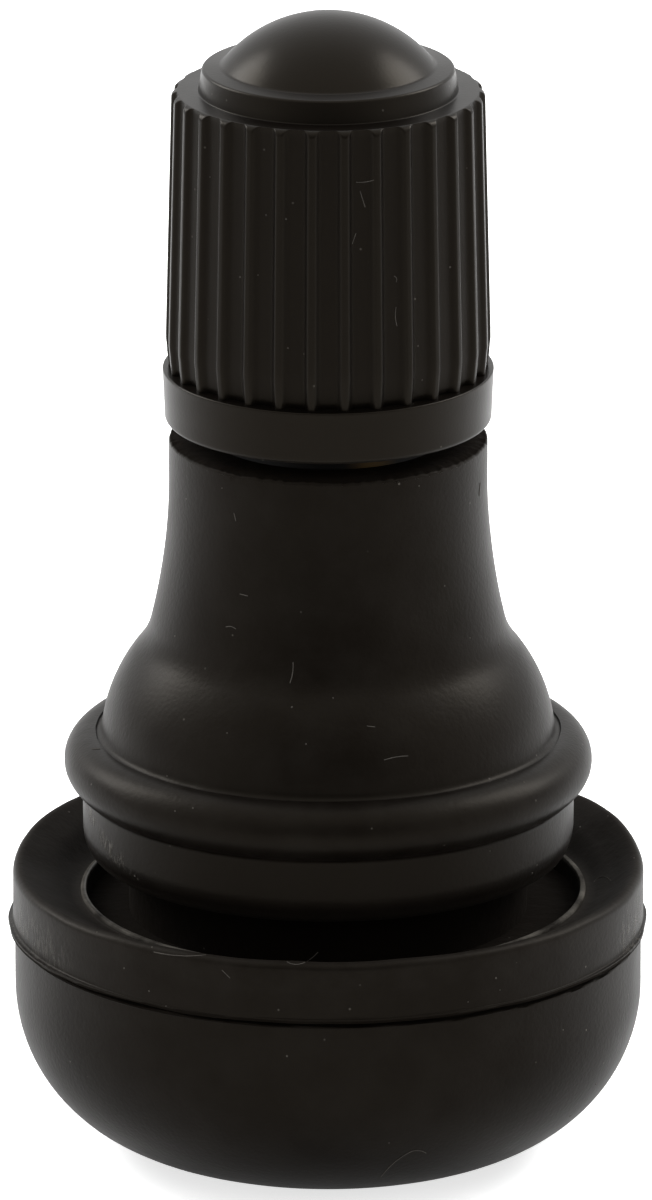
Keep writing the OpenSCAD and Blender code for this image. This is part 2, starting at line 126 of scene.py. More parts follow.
class RubberSizes(bpy.types.PropertyGroup):
    """Sizes of the rubber moulding"""

    lip_d: length("Lip diameter", 19.0, "Across the lip of the base")
    lip_h: length("Lip height", 1.78, "From the parting line up to the lip")
    lip_round: length("Lip edge", 0.22, "Radius of the lip's edge")
    parting_h: length("Parting line", 6.72, "From the underside up to the mould's parting line")
    flash_t: length("Flash thickness", 0.12, "Thickness of the fin of flash at the parting line")
    undercut_h: length("Undercut height", 0.26, "Height of the hollow under the flash")
    undercut_depth: length("Undercut depth", 0.16, "Depth of the hollow under the flash")
    cup_step: length("Cup step", 0.06, "How much smaller the cup is than the lip, on the radius")
    cup_round: length("Cup edge", 4.8, "Radius of the cup's lower edge")
    dish_depth: length("Dish depth", 0.72, "How far the base's top falls from the lip to the groove")
    air_hole_d: length("Air hole", 4.5, "Diameter of the hole in the underside")
    groove_d: length("Groove diameter", 12.0, "Across the floor of the rim groove")
    groove_gap: length("Groove mouth", 1.2, "Clear height of the rim groove's mouth")
    groove_drop: length("Groove drop", 0.6, "Depth of the groove's bottom below its mouth")
    ridge_h: length("Ridge height", 0.14, "Height of the thin ridge round the groove's mouth")
    ridge_t: length("Ridge thickness", 0.2, "Thickness of the ridge round the groove's mouth")
    ridge_shift: length("Ridge shift", 0.3, "How much further out the ridge lies on the right")
    waist_d: length("Waist diameter", 14.76, "Across the waist")
    waist_h: length("Waist height", 2.02, "From the groove's mouth up to the bead")
    waist_round: length("Waist edge", 0.8, "Height over which the waist rounds off at its foot")
    waist_draw: length("Waist draw", 0.4, "How far the waist draws in at its foot")
    bead_reach: length("Bead reach", 0.55, "How far the retaining bead stands out past the waist")
    bead_round: length("Bead radius", 0.9, "Radius of the bead's round section")
    bell_inset: length("Bell inset", 0.56, "How far the foot of the bell lies inside the waist")
    bell_foot_lean: lean("Bell foot lean", 4.8, "Lean of the bell at its foot")
    bell_lean: lean("Bell lean", 39.7, "Steepest lean of the bell")
    neck_lean: lean("Neck lean", 13.7, "Lean of the neck where it runs into the bell")
    hollow_round: length("Hollow radius", 2.0, "Radius of the hollow between the neck and the bell")
    flare_round: length("Flare radius", 19.4, "Radius of the neck's long flare")
    neck_d: length("Neck diameter", 9.52, "Across the straight neck")
    neck_round: length("Neck edge", 0.08, "Radius of the edge at the top of the neck")
    bond: length("Bond", 0.02, "Thickness of the bond between rubber and brass")


class StemSizes(bpy.types.PropertyGroup):
    """Sizes of the turned stem"""

    foot_t: length("Foot thickness", 1.2, "Thickness of the foot that locks the stem in the base")
    foot_cone: length("Foot cone", 1.4, "Height of the cone from the foot to the shank")
    shank_d: length("Shank diameter", 7.1, "Across the shank inside the rubber")
    key_count: number("Keying grooves", 3, "Grooves round the shank")
    key_w: length("Keying groove width", 0.8, "Width of a keying groove")
    key_depth: length("Keying groove depth", 0.3, "Depth of a keying groove")
    key_pitch: length("Keying groove spacing", 1.9, "Spacing of the keying grooves")
    thread_d: length("Thread diameter", 7.74, "Outside diameter of the cap thread")
    thread_pitch: length("Thread pitch", 0.794, "Pitch of the cap thread")
    thread_depth: length("Thread depth", 0.42, "Depth of the cap thread, on the radius")
    thread_start: length("Thread start", 0.3, "Plain length between the rubber and the thread")
    mouth_chamfer: length("Mouth chamfer", 0.45, "Chamfer at the mouth")
    mouth_d: length("Mouth diameter", 5.7, "Across the mouth's counterbore")
    mouth_depth: length("Mouth depth", 0.9, "Depth of the mouth's counterbore")
    core_bore_d: length("Core bore", 5.24, "Diameter of the bore that the core screws into")
    chamber_d: length("Chamber", 3.82, "Diameter of the chamber under the core's seat")


class CapSizes(bpy.types.PropertyGroup):
    """Sizes of the dust cap"""

    bore_d: length("Bore", 8.0, "Diameter of the threaded bore, over the thread's roots")
    mouth_d: length("Mouth", 8.28, "Diameter of the plain mouth under the thread")
    thread_turns: number("Thread turns", 6, "Turns of thread in the cap")
    band_h: length("Band height", 1.61, "Height of the plain band at the mouth")
    band_draft: length("Band draft", 0.06, "Draft of the band, on the radius")
    band_round: length("Band edge", 0.16, "Radius of the band's lower edge")
    band_top_round: length("Band top edge", 0.05, "Radius of the band's upper edge")
    grip_low_d: length("Grip diameter, low", 9.68, "Across the ridges of the grip at its lower end")
    grip_top_d: length("Grip diameter, top", 9.32, "Across the ridges of the grip at its top")
    grip_neck: length("Grip neck", 0.07, "How far the grip necks in above the band")
    grip_neck_h: length("Grip neck height", 0.9, "Height of the neck above the band")
    flute_count: number("Flutes", 30, "Flutes round the grip", least=3)
    flute_depth: length("Flute depth", 0.17, "Depth of a flute")
    crest_w: length("Crest width", 0.13, "Width of the crest between two flutes")
    flank_w: length("Flank width", 0.21, "Width of a flute's flank")
    pocket_depth: length("Pocket depth", 0.1, "How much deeper a flute is at its foot")
    pocket_h: length("Pocket height", 0.18, "Height of the deeper foot of a flute")
    shoulder_h: length("Shoulder", 0.66, "From the sealing disc's seat up to the shoulder")
    shoulder_round: length("Shoulder edge", 0.22, "Radius of the shoulder's edge")
    crown_d: length("Crown diameter", 7.52, "Across the crown's top edge")
    crown_draft: length("Crown draft", 0.1, "Draft of the crown's step, on the radius")
    crown_h: length("Crown height", 0.7, "Height of the crown's step")
    crown_round: length("Crown edge", 0.1, "Radius of the crown's edge")
    dome_d: length("Dome diameter", 6.4, "Across the dome where it meets the crown")
    dome_rise: length("Dome rise", 1.55, "Height of the dome")
    dome_wall: length("Dome wall", 0.9, "Wall of the hollow dome")
    dome_fillet: length("Dome fillet", 0.07, "Reach of the fillet between the dome and the crown")


class CoreSizes(bpy.types.PropertyGroup):
    """Sizes of the valve core's plug and spring"""

    plug_d: length("Plug diameter", 5.2, "Outside diameter of the plug's thread")
    plug_h: length("Plug length", 3.6, "Length of the plug's thread")
    plug_pitch: length("Plug pitch", 0.7056, "Pitch of the plug's thread")
    plug_thread: length("Plug thread depth", 0.3, "Depth of the plug's thread, on the radius")
    plug_bore_d: length("Plug bore", 2.1, "Diameter of the air way through the plug")
    socket_d: length("Socket diameter", 3.32, "Diameter of the swivel socket under the plug")
    socket_depth: length("Socket depth", 1.0, "Depth of the swivel socket under the plug")
    ear_d: length("Ear diameter", 4.3, "Across the plug's two driving ears")
    ear_t: length("Ear thickness", 1.9, "Thickness of the driving ears")
    wire_d: length("Wire", 0.3, "Diameter of the spring's wire")
    coil_d: length("Coil", 1.9, "Diameter of the spring at the middle of its wire")
    coil_turns: number("Turns", 8, "Turns of the spring", least=3)


class Finishes(bpy.types.PropertyGroup):
    """Colours of the materials"""

    rubber: colour("Rubber", "#0b0806", "Carbon-filled black rubber")
    # This grey paints dust and specks, and also the painted highlights on the rubber's ridge and waist
    rubber_dust: colour("Dust", "#77736c", "Grey dust that clings to the rubber")
    cap: colour("Cap", "#0b0806", "Black plastic of the dust cap")
    sheen: colour("Sheen", "#fff0d8", "Tint of the black surfaces' gloss where it is seen straight on")
    stem: colour("Stem", "#c59a4e", "Turned brass")
    core: colour("Core", "#cfa85e", "Bright turned brass of the core")
    spring: colour("Spring", "#b4b6b8", "Drawn spring steel")
    gasket: colour("Gasket", "#8c2f25", "Red sealing ring of the core")
    seal: colour("Seals", "#141312", "Smooth black sealing rubber")
    lint: colour("Lint", "#66625c", "Pale lint and grit")
    floor: colour("Floor", "#f4f4f4", "White table")


class StageSettings(bpy.types.PropertyGroup):
    """Camera and lights"""

    aim_x: length("Aim sideways", -0.067, "Where the camera aims beside the valve's axis")
    aim_z: length("Aim height", 16.77, "Height on the valve's axis that the camera aims at")
    elevation: lean("Elevation", 17.65, "Height of the camera above the horizon")
    distance: length("Distance", 449.25, "From the camera to the aim")
    focal: FloatProperty(
        name="Focal length", description="Lens, in millimetres", default=450.0, subtype="DISTANCE_CAMERA")
    softbox_power: lamp_power("Softboxes", 0.28, "Power of each softbox")
    table_power: lamp_power("Table lamps", 0.6, "Power of each table lamp")
    fill_power: lamp_power("Fill", 0.3, "Power of the front fill")
    room: brightness("Room", 0.35, "Light that the room gives to matt faces")
    dark_side: brightness("Dark side", 0.27, "Room's brightness behind the camera")
    walls: brightness("Walls", 1.2, "Room's brightness at its sides and back")
    ceiling: brightness("Ceiling", 1.2, "How much brighter the room is overhead")
    floor_glow: brightness("Floor glow", 0.72, "Table's own light to the lens")
    floor_mirror: brightness("Floor in gloss", 0.235, "Table's own light in mirror images of it")
    floor_r: length("Floor radius", 600.0, "Radius of the table")


def smooth(x):
    """0 below 0, 1 above 1, and a soft step between."""
    x = min(max(x, 0.0), 1.0)
    return x * x * (3 - 2 * x)


def between(x, low, high, soft):
    """1 between low and high, and a soft step to 0 inside each end."""
    return smooth((x - low) / soft) * smooth((high - x) / soft)


def past(point, reach, angle):
    """The point that lies a reach away from another at an angle."""
    return point[0] + reach * math.cos(angle), point[1] + reach * math.sin(angle)


def arc(centre, radius, start, end, steps):
    """Outline points on an arc, angles in degrees."""
    angles = [math.radians(start + (end - start) * i / steps) for i in range(steps + 1)]
    return [past(centre, radius, a) for a in angles]


def bend(start, corner, end, steps=5):
    """Outline points that leave start towards corner and arrive at end, as a soft moulded corner."""
    points = []
    for i in range(steps + 1):
        t = i / steps
        a, b, c = (1 - t) ** 2, 2 * t * (1 - t), t ** 2
        points.append(tuple(a * p + b * q + c * r for p, q, r in zip(start, corner, end)))
    return points


def run(start, end, steps):
    """Outline points along a straight stretch, both ends included."""
    return [tuple(p + (q - p) * i / steps for p, q in zip(start, end)) for i in range(steps + 1)]


def even_angles(count):
    """Angles evenly spaced round the axis, from the front."""
    return [FRONT + TURN * i / count for i in range(count)]


def thread_share(z, angle, pitch):
    """0 on the crest of a right-hand thread and 1 in its root, with both rounded."""
    phase = (z / pitch - angle / TURN) % 1
    return smooth(abs(2 * phase - 1))


def lathe(name, outline, angles, shape=None):
    """A closed mesh turned from an outline of (radius, height) points, walked up the outside.

    Points on the axis become poles; an outline that has none is joined to its own start.
    shape(row, radius, height, angle) may move a point; it returns a radius and a height.
    """
    points, faces, rings = [], [], []
    for row, (radius, height) in enumerate(outline):
        first = len(points)
        if radius < ON_AXIS:
            points.append((0.0, 0.0, height))
            rings.append([first] * len(angles))
            continue
        for angle in angles:
            r, z = shape(row, radius, height, angle) if shape else (radius, height)
            points.append((r * math.cos(angle), r * math.sin(angle), z))
        rings.append(list(range(first, len(points))))
    if outline[0][0] > ON_AXIS:
        rings.append(rings[0])
    for low, high in zip(rings, rings[1:]):
        for i in range(len(angles)):
            j = (i + 1) % len(angles)
            corners = (low[i], low[j], high[j], high[i])
            faces.append(tuple(dict.fromkeys(corners)))
    return new_piece(name, points, faces)


def new_piece(name, points, faces):
    """An object with a smooth-shaded mesh whose edges stay crisp where it turns sharply."""
    mesh = bpy.data.meshes.new(name)
    mesh.from_pydata(points, [], faces)
    mesh.validate()
    mesh.shade_smooth()
    mesh.set_sharp_from_angle(angle=SHARP)
    piece = bpy.data.objects.new(name, mesh)
    bpy.context.scene.collection.objects.link(piece)
    return piece


def add_rings(points, faces, rings):
    """Adds a closed skin over rings of points, all of the same count."""
    first, count = len(points), len(rings[0])
    for ring in rings:
        points += ring
    last = len(points) - count
    for low in range(first, last, count):
        faces += [(low + k, low + (k + 1) % count, low + count + (k + 1) % count, low + count + k)
                  for k in range(count)]
    faces += [tuple(reversed(range(first, first + count))), tuple(range(last, last + count))]


def dress(piece, material, body, node=None):
    """Gives a piece its material in a new slot and the body it rides on, and hides the CAD solid that it
    stands for.
    """
    piece.data.materials.append(material)
    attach(piece, body)
    if node:
        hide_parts(node)


def paint(piece, name, amount):
    """Stores amount(radius, height, angle) on each point, for the material to read."""
    layer = piece.data.attributes.new(name, "FLOAT", "POINT")
    points = [v.co for v in piece.data.vertices]
    values = [amount(math.hypot(p.x, p.y), p.z, math.atan2(p.y, p.x)) for p in points]
    layer.data.foreach_set("value", values)


def ripple(radius, height, angle, size):
    """Smooth random waves about as long as size, from -1 to 1, the same on each run."""
    place = Vector((radius * math.cos(angle), radius * math.sin(angle), height))
    return noise.noise(place / size)


def new_material(name):
    """A node material with its shader, and the tree to add nodes to."""
    material = bpy.data.materials.new(name)
    material.use_nodes = True
    tree = material.node_tree
    return material, tree, tree.nodes["Principled BSDF"]


def wire(tree, node, values=None, links=None):
    """Sets values on a node's sockets and links others to their sources."""
    for socket, value in (values or {}).items():
        node.inputs[socket].default_value = value
    for socket, source in (links or {}).items():
        tree.links.new(source, node.inputs[socket])


def add_node(tree, kind, settings=None, values=None, links=None):
    """A shader node of a kind, with its settings, its socket values and its incoming links."""
    node = tree.nodes.new("ShaderNode" + kind)
    for key, value in (settings or {}).items():
        setattr(node, key, value)
    wire(tree, node, values, links)
    return node


def per(mm):
    """Texture scale at which one wave of a pattern is that many millimetres long."""
    return 1 / (mm * MM)


def rubber_material(finishes):
    """EPDM rubber, compression moulded.

    Carbon black leaves almost no colour, the mould's blasted steel leaves a soft satin grain, and the
    tacky surface holds a thin layer of grey dust with single bright specks. The same grey also paints a
    highlight line on the groove's ridge and a highlight streak on the waist.
    """
    material, tree, shader = new_material("EPDM rubber, moulded, dusty")
    place = add_node(tree, "TexCoord").outputs["Object"]
    dust, scuff_and_highlight, matt = (add_node(tree, "Attribute", {"attribute_name": name}).outputs["Fac"]
                         for name in ("dust", "scuff_and_highlight", "matt"))
    # Dust lies in clouds 1.6 mm across
    cloud = add_node(tree, "TexNoise", values={"Scale": per(1.6), "Detail": 6.0, "Roughness": 0.65},
                     links={"Vector": place})
    film_and_painted_light = add_node(tree, "MapRange", values={"From Min": 0.36, "From Max": 0.8, "To Max": 0.025},
                    links={"Value": cloud.outputs["Fac"]})
    # The dust values also carry a painted highlight on the ridge and painted shade in the groove
    film_and_painted_light = add_node(tree, "Math", {"operation": "MULTIPLY"}, links={0: film_and_painted_light.outputs["Result"], 1: dust})
    # Specks sit in cells 0.7 mm apart, and only some cells hold one
    cells = add_node(tree, "TexVoronoi", values={"Scale": per(0.7)}, links={"Vector": place})
    speck = add_node(tree, "MapRange", links={"Value": cells.outputs["Distance"]},
                     values={"From Min": 0.03, "From Max": 0.06, "To Min": 0.5, "To Max": 0.0})
    chosen = add_node(tree, "SeparateColor", links={"Color": cells.outputs["Color"]})
    chosen = add_node(tree, "MapRange", values={"From Min": 0.6, "From Max": 1.0},
                      links={"Value": chosen.outputs["Red"]})
    speck = add_node(tree, "Math", {"operation": "MULTIPLY"},
                     links={0: speck.outputs["Result"], 1: chosen.outputs["Result"]})
    # Scuffs are torn grey flecks about 0.2 mm wide and 0.5 mm tall, with finer ones in them; they also paint
    # the waist's highlight streak
    torn = add_node(tree, "Mapping", values={"Scale": (per(0.2), per(0.2), per(0.5))},
                    links={"Vector": place})
    torn = add_node(tree, "TexNoise", values={"Scale": 1.0, "Detail": 5.0, "Roughness": 0.7},
                    links={"Vector": torn.outputs["Vector"]})
    torn = add_node(tree, "MapRange", values={"From Min": 0.48, "From Max": 0.7, "To Max": 0.45},
                    links={"Value": torn.outputs["Fac"]})
    torn = add_node(tree, "Math", {"operation": "MULTIPLY"}, links={0: torn.outputs["Result"], 1: scuff_and_highlight})
    grey = add_node(tree, "Math", {"operation": "ADD"}, links={0: film_and_painted_light.outputs[0], 1: torn.outputs[0]})
    grey = add_node(tree, "Math", {"operation": "ADD", "use_clamp": True},
                    links={0: grey.outputs[0], 1: speck.outputs[0]})
    tint = add_node(tree, "Mix", {"data_type": "RGBA"}, links={0: grey.outputs[0]},
                    values={6: (*finishes.rubber, 1), 7: (*finishes.rubber_dust, 1)})
    satin = add_node(tree, "MapRange", values={"To Min": 0.32, "To Max": 0.46},
                     links={"Value": cloud.outputs["Fac"]})
    dull = add_node(tree, "MapRange", values={"To Max": 1.0},
                    links={"Value": matt, "To Min": satin.outputs["Result"]})
    # The mould's grain is about 0.05 mm; it is drawn at 0.14 mm, or the render would lose it
    grain = add_node(tree, "TexNoise", values={"Scale": per(0.14), "Detail": 2.0}, links={"Vector": place})
    relief = add_node(tree, "Bump", values={"Strength": 0.35, "Distance": 0.02 * MM},
                      links={"Height": grain.outputs["Fac"]})
    # Grime lies in lumps 0.4 mm across where the surface is dull
    lumps = add_node(tree, "TexNoise", values={"Scale": per(0.4), "Detail": 4.0}, links={"Vector": place})
    lumps = add_node(tree, "Math", {"operation": "MULTIPLY"}, links={0: lumps.outputs["Fac"], 1: matt})
    uneven = add_node(tree, "Math", {"operation": "ADD"}, links={0: lumps.outputs[0], 1: torn.outputs[0]})
    relief = add_node(tree, "Bump", values={"Strength": 0.8, "Distance": 0.05 * MM},
                      links={"Height": uneven.outputs[0], "Normal": relief.outputs["Normal"]})
    wire(tree, shader, {"Specular IOR Level": 0.085, "Specular Tint": (*finishes.sheen, 1)},
         {"Base Color": tint.outputs[2], "Roughness": dull.outputs["Result"],
          "Normal": relief.outputs["Normal"]})
    return material


def cap_material(finishes):
    """Glass-free nylon, injection moulded in a fine spark-eroded tool.

    Through-coloured black with an even satin face, so edges and the dome take soft highlights. The flutes
    keep the tool's matt face, and fingers have rubbed the crests between them smooth.
    """
    material, tree, shader = new_material("Nylon, injection moulded, satin")
    place = add_node(tree, "TexCoord").outputs["Object"]
    # Flow marks in the plastic are a few millimetres long
    flow = add_node(tree, "TexNoise", values={"Scale": per(2.5), "Detail": 5.0, "Roughness": 0.6},
                    links={"Vector": place})
    satin = add_node(tree, "MapRange", values={"To Min": 0.25, "To Max": 0.36},
                     links={"Value": flow.outputs["Fac"]})
    matt = add_node(tree, "Attribute", {"attribute_name": "matt"}).outputs["Fac"]
    dull = add_node(tree, "MapRange", values={"To Max": 1.0},
                    links={"Value": matt, "To Min": satin.outputs["Result"]})
    cells = add_node(tree, "TexVoronoi", values={"Scale": per(0.9)}, links={"Vector": place})
    speck = add_node(tree, "MapRange", links={"Value": cells.outputs["Distance"]},
                     values={"From Min": 0.02, "From Max": 0.05, "To Min": 0.3, "To Max": 0.0})
    tint = add_node(tree, "Mix", {"data_type": "RGBA"}, links={0: speck.outputs["Result"]},
                    values={6: (*finishes.cap, 1), 7: (*finishes.rubber_dust, 1)})
    # Spark erosion leaves pits of about 0.03 mm; they are drawn at 0.1 mm, or the render would lose them
    pits = add_node(tree, "TexNoise", values={"Scale": per(0.1), "Detail": 2.0}, links={"Vector": place})
    relief = add_node(tree, "Bump", values={"Strength": 0.2, "Distance": 0.012 * MM},
                      links={"Height": pits.outputs["Fac"]})
    wire(tree, shader, {"Specular IOR Level": 0.13, "Specular Tint": (*finishes.sheen, 1)},
         {"Base Color": tint.outputs[2], "Roughness": dull.outputs["Result"],
          "Normal": relief.outputs["Normal"]})
    return material


def turned_metal(name, tint, rough, groove_mm, film_and_painted_light=None):
    """Bar metal turned on a lathe: rings of fine tool marks round the axis stretch its highlights.

    A colour given for the sheet is a dull skin in the rubber's colour laid over the metal where the point
    value says; it stands in for the shade in the gap between the rubber and the cap, so it is painted shade.
    """
    material, tree, shader = new_material(name)
    place = add_node(tree, "TexCoord").outputs["Object"]
    # Tool marks run round the axis, so the pattern is stretched flat in x and y
    rings = add_node(tree, "Mapping", values={"Scale": (per(6.0), per(6.0), per(groove_mm))},
                     links={"Vector": place})
    marks = add_node(tree, "TexNoise", values={"Scale": 1.0, "Detail": 3.0},
                     links={"Vector": rings.outputs["Vector"]})
    sheen = add_node(tree, "MapRange", values={"To Min": rough * 0.7, "To Max": rough * 1.3},
                     links={"Value": marks.outputs["Fac"]})
    # Handling leaves darker patches a millimetre or two across
    tarnish = add_node(tree, "TexNoise", values={"Scale": per(1.5), "Detail": 4.0}, links={"Vector": place})
    patch = add_node(tree, "MapRange", values={"From Min": 0.5, "From Max": 0.8, "To Max": 0.45},
                     links={"Value": tarnish.outputs["Fac"]})
    shade = add_node(tree, "Mix", {"data_type": "RGBA"}, links={0: patch.outputs["Result"]},
                     values={6: (*tint, 1), 7: (*(0.45 * c for c in tint), 1)})
    relief = add_node(tree, "Bump", values={"Strength": 0.3, "Distance": 0.01 * MM},
                      links={"Height": marks.outputs["Fac"]})
    wire(tree, shader, {"Metallic": 1.0},
         {"Roughness": sheen.outputs["Result"], "Normal": relief.outputs["Normal"]})
    if film_and_painted_light:
        # Painted shade: a dark skin laid over the metal where the gap under the cap lies in shade
        painted_shade_sheet = add_node(tree, "Attribute", {"attribute_name": "film_and_painted_light"}).outputs["Fac"]
        bare = add_node(tree, "MapRange", values={"To Min": 1.0, "To Max": 0.0}, links={"Value": painted_shade_sheet})
        wire(tree, shader, {"Specular IOR Level": 0.09}, {"Metallic": bare.outputs["Result"]})
        shade = add_node(tree, "Mix", {"data_type": "RGBA"}, values={7: (*film_and_painted_light, 1)},
                         links={0: painted_shade_sheet, 6: shade.outputs[2]})
    wire(tree, shader, links={"Base Color": shade.outputs[2]})
    return material


def seal_material(name, tint, rough, gloss):
    """Moulded sealing ring: smooth and a little waxy, with faint mottling from the press."""
    material, tree, shader = new_material(name)
    place = add_node(tree, "TexCoord").outputs["Object"]
    # Mottling is about 0.5 mm across
    mottle = add_node(tree, "TexNoise", values={"Scale": per(0.5), "Detail": 4.0}, links={"Vector": place})
    shade = add_node(tree, "Mix", {"data_type": "RGBA"}, links={0: mottle.outputs["Fac"]},
                     values={6: (*(0.75 * c for c in tint), 1), 7: (*tint, 1)})
    wax = add_node(tree, "MapRange", values={"To Min": rough - 0.08, "To Max": rough + 0.08},
                   links={"Value": mottle.outputs["Fac"]})
    wire(tree, shader, {"Specular IOR Level": gloss},
         {"Base Color": shade.outputs[2], "Roughness": wax.outputs["Result"]})
    return material


def lint_material(finishes):
    """Cotton lint and mineral grit, loose: matt and pale, a little darker where skin oil soaked in."""
    material, tree, shader = new_material("Cotton lint and grit, loose")
    place = add_node(tree, "TexCoord").outputs["Object"]
    # Soaked lengths are about 0.3 mm long
    soaked = add_node(tree, "TexNoise", values={"Scale": per(0.3), "Detail": 2.0}, links={"Vector": place})
    shade = add_node(tree, "Mix", {"data_type": "RGBA"}, links={0: soaked.outputs["Fac"]},
                     values={6: (*finishes.lint, 1), 7: (*(0.4 * c for c in finishes.lint), 1)})
    wire(tree, shader, {"Roughness": 0.9, "Specular IOR Level": 0.2}, {"Base Color": shade.outputs[2]})
    return material


def rubber_heights(s):
    """Heights of the moulding's outline, stacked from the underside as it is moulded."""
    lip_z = s.parting_h + s.lip_h
    ridge_z = lip_z - s.dish_depth
    waist_z = ridge_z + s.groove_gap
    bead_low_z = waist_z + s.waist_h
    low_run = s.bead_round - s.bead_reach
    bead_z = bead_low_z + math.sqrt(s.bead_round ** 2 - low_run ** 2)
    return lip_z, ridge_z, waist_z, bead_low_z, bead_z


def base_outline(s):
    """Cup, flash, lip and dish of the base, from the underside to the groove's ridge."""
    lip_z, ridge_z = rubber_heights(s)[:2]
    lip_r, cup_r = s.lip_d / 2, s.lip_d / 2 - s.cup_step
    tip_r, half = RUBBER_HIGH.x, s.flash_t / 2
    part_z, fin_low, fin_high = s.parting_h, s.parting_h - half, s.parting_h + half
    ridge_r = s.waist_d / 2 - s.ridge_t / 2
    ridge_out = ridge_r + s.ridge_t
    slope = math.degrees(math.atan2(s.dish_depth, lip_r - s.lip_round - ridge_out))
    edge = arc((lip_r - s.lip_round, lip_z - s.lip_round), s.lip_round, 0, 90 + slope, 8)
    return (
        run((s.air_hole_d / 2, 0.0), (cup_r - s.cup_round, 0.0), 4)
        + arc((cup_r - s.cup_round, s.cup_round), s.cup_round, -90, 0, 32)[1:]
        + run((cup_r, s.cup_round + half), (cup_r, part_z - 2 * half - s.undercut_h), 8)
        + run((cup_r, fin_low - s.undercut_h), (cup_r, part_z - 2 * half), 7)
        + bend((cup_r, part_z - 1.6 * half), (cup_r, fin_low), (tip_r - half, fin_low))
        + bend((tip_r - half / 2, fin_low), (tip_r, part_z), (tip_r - half / 2, fin_high), 4)
        + bend((tip_r - half, fin_high), (lip_r, fin_high), (lip_r, part_z + 2 * half))
        + run((lip_r, part_z + 3 * half), edge[0], 7)[:-1]
        + edge
        + run(edge[-1], (ridge_out + s.ridge_t, ridge_z - s.ridge_h), 12)[1:]
        + bend((ridge_out + s.ridge_t / 8, ridge_z - s.ridge_h), (ridge_out, ridge_z - s.ridge_h),
               (ridge_out - s.ridge_t / 8, ridge_z - s.ridge_h / 2), 4)
        + bend((ridge_out - s.ridge_t / 6, ridge_z - s.ridge_h / 6), (ridge_out - s.ridge_t / 4, ridge_z),
               (ridge_r + s.ridge_t / 3, ridge_z), 3)
        + bend((ridge_r + s.ridge_t / 5, ridge_z), (ridge_r, ridge_z), (ridge_r, ridge_z - s.ridge_h), 3))


def groove_outline(s):
    """Rim groove, waist and bead, up to the crease under the bell."""
    ridge_z, waist_z, bead_low_z, bead_z = rubber_heights(s)[1:]
    groove_r, waist_r = s.groove_d / 2, s.waist_d / 2
    bead_c = (waist_r + s.bead_reach - s.bead_round, bead_z)
    low = math.degrees(math.acos((s.bead_round - s.bead_reach) / s.bead_round))
    high = math.degrees(math.acos((waist_r - s.bell_inset - bead_c[0]) / s.bead_round))
    bead = arc(bead_c, s.bead_round, -low + 9, high - 11, 22)
    soft = 0.12 * MM
    return (
        [(waist_r - s.ridge_t / 2, ridge_z - s.groove_drop), (groove_r, ridge_z - s.groove_drop)]
        + run((groove_r, waist_z - soft), (groove_r + soft, waist_z), 1)
        + bend((waist_r - s.waist_draw, waist_z), (waist_r - s.waist_draw / 6, waist_z + soft),
               (waist_r, waist_z + s.waist_round), 12)
        + run((waist_r, waist_z + s.waist_round + soft / 2), (waist_r, bead_low_z - 2 * soft), 10)
        + bend((waist_r, bead_low_z - soft), (waist_r, bead_low_z), bead[0], 5)
        + bead[1:])


def bell_outline(s):
    """Bell, hollow, flare and neck, up to the neck's top face."""
    bead_z = rubber_heights(s)[-1]
    waist_r, neck_r = s.waist_d / 2, s.neck_d / 2
    foot_r = waist_r - s.bell_inset
    foot_run = foot_r - (waist_r + s.bead_reach - s.bead_round)
    foot_z = bead_z + math.sqrt(s.bead_round ** 2 - foot_run ** 2)
    gain = (foot_r - neck_r - s.hollow_round * (math.cos(s.neck_lean) - math.cos(s.bell_lean))
            - s.flare_round * (1 - math.cos(s.neck_lean)))
    bell_round = gain / (math.cos(s.bell_foot_lean) - math.cos(s.bell_lean))
    foot, top, neck = (math.degrees(a) for a in (s.bell_foot_lean, s.bell_lean, s.neck_lean))
    bell_c = past((foot_r, foot_z), -bell_round, s.bell_foot_lean)
    hollow_c = past(bell_c, bell_round + s.hollow_round, s.bell_lean)
    flare_c = past(hollow_c, s.flare_round - s.hollow_round, s.neck_lean)
    crease = bend((foot_r + 0.14 * MM, foot_z - 0.02 * MM), (foot_r, foot_z + 0.02 * MM),
                  (foot_r - 0.02 * MM, foot_z + 0.2 * MM), 5)
    top_z = RUBBER_HIGH.z
    return (
        crease
        + arc(bell_c, bell_round, foot + 3, top, 20)
        + arc(hollow_c, -s.hollow_round, top, neck, 10)[1:]
        + arc(flare_c, -s.flare_round, neck, 0, 16)[1:]
        + run((neck_r, flare_c[1] + 0.3 * MM), (neck_r, top_z - 1.6 * s.neck_round), 3)
        + arc((neck_r - s.neck_round, top_z - s.neck_round), s.neck_round, 0, 90, 5)
        + run((neck_r - 1.5 * s.neck_round, top_z), (neck_r - 4 * s.neck_round, top_z), 2))


def key_outline(stem, shank_z, grow):
    """Keying grooves of the stem's shank, walked up, with the outline grown outside the metal."""
    shank_r = stem.shank_d / 2 + grow
    key_r = shank_r - stem.key_depth
    points = []
    for i in range(stem.key_count):
        low = shank_z + stem.key_pitch * (i + 1)
        high = low + stem.key_w
        points += [(shank_r, low + grow), (key_r, low + grow), (key_r, high - grow), (shank_r, high - grow)]
    return points


def bond_outline(s, stem):
    """Inside of the moulding, down over the stem's shank, its keying grooves and its foot."""
    shank_r = stem.shank_d / 2 + s.bond
    foot_r = STEM_HIGH.x + s.bond
    foot_top = STEM_LOW.z + stem.foot_t
    shank_z = foot_top + stem.foot_cone
    keys = key_outline(stem, shank_z, s.bond)
    return [(shank_r, RUBBER_HIGH.z)] + keys[::-1] + [
        (shank_r, shank_z + s.bond), (foot_r, foot_top + s.bond),
        (foot_r, STEM_LOW.z - s.bond), (s.air_hole_d / 2, STEM_LOW.z - s.bond)]


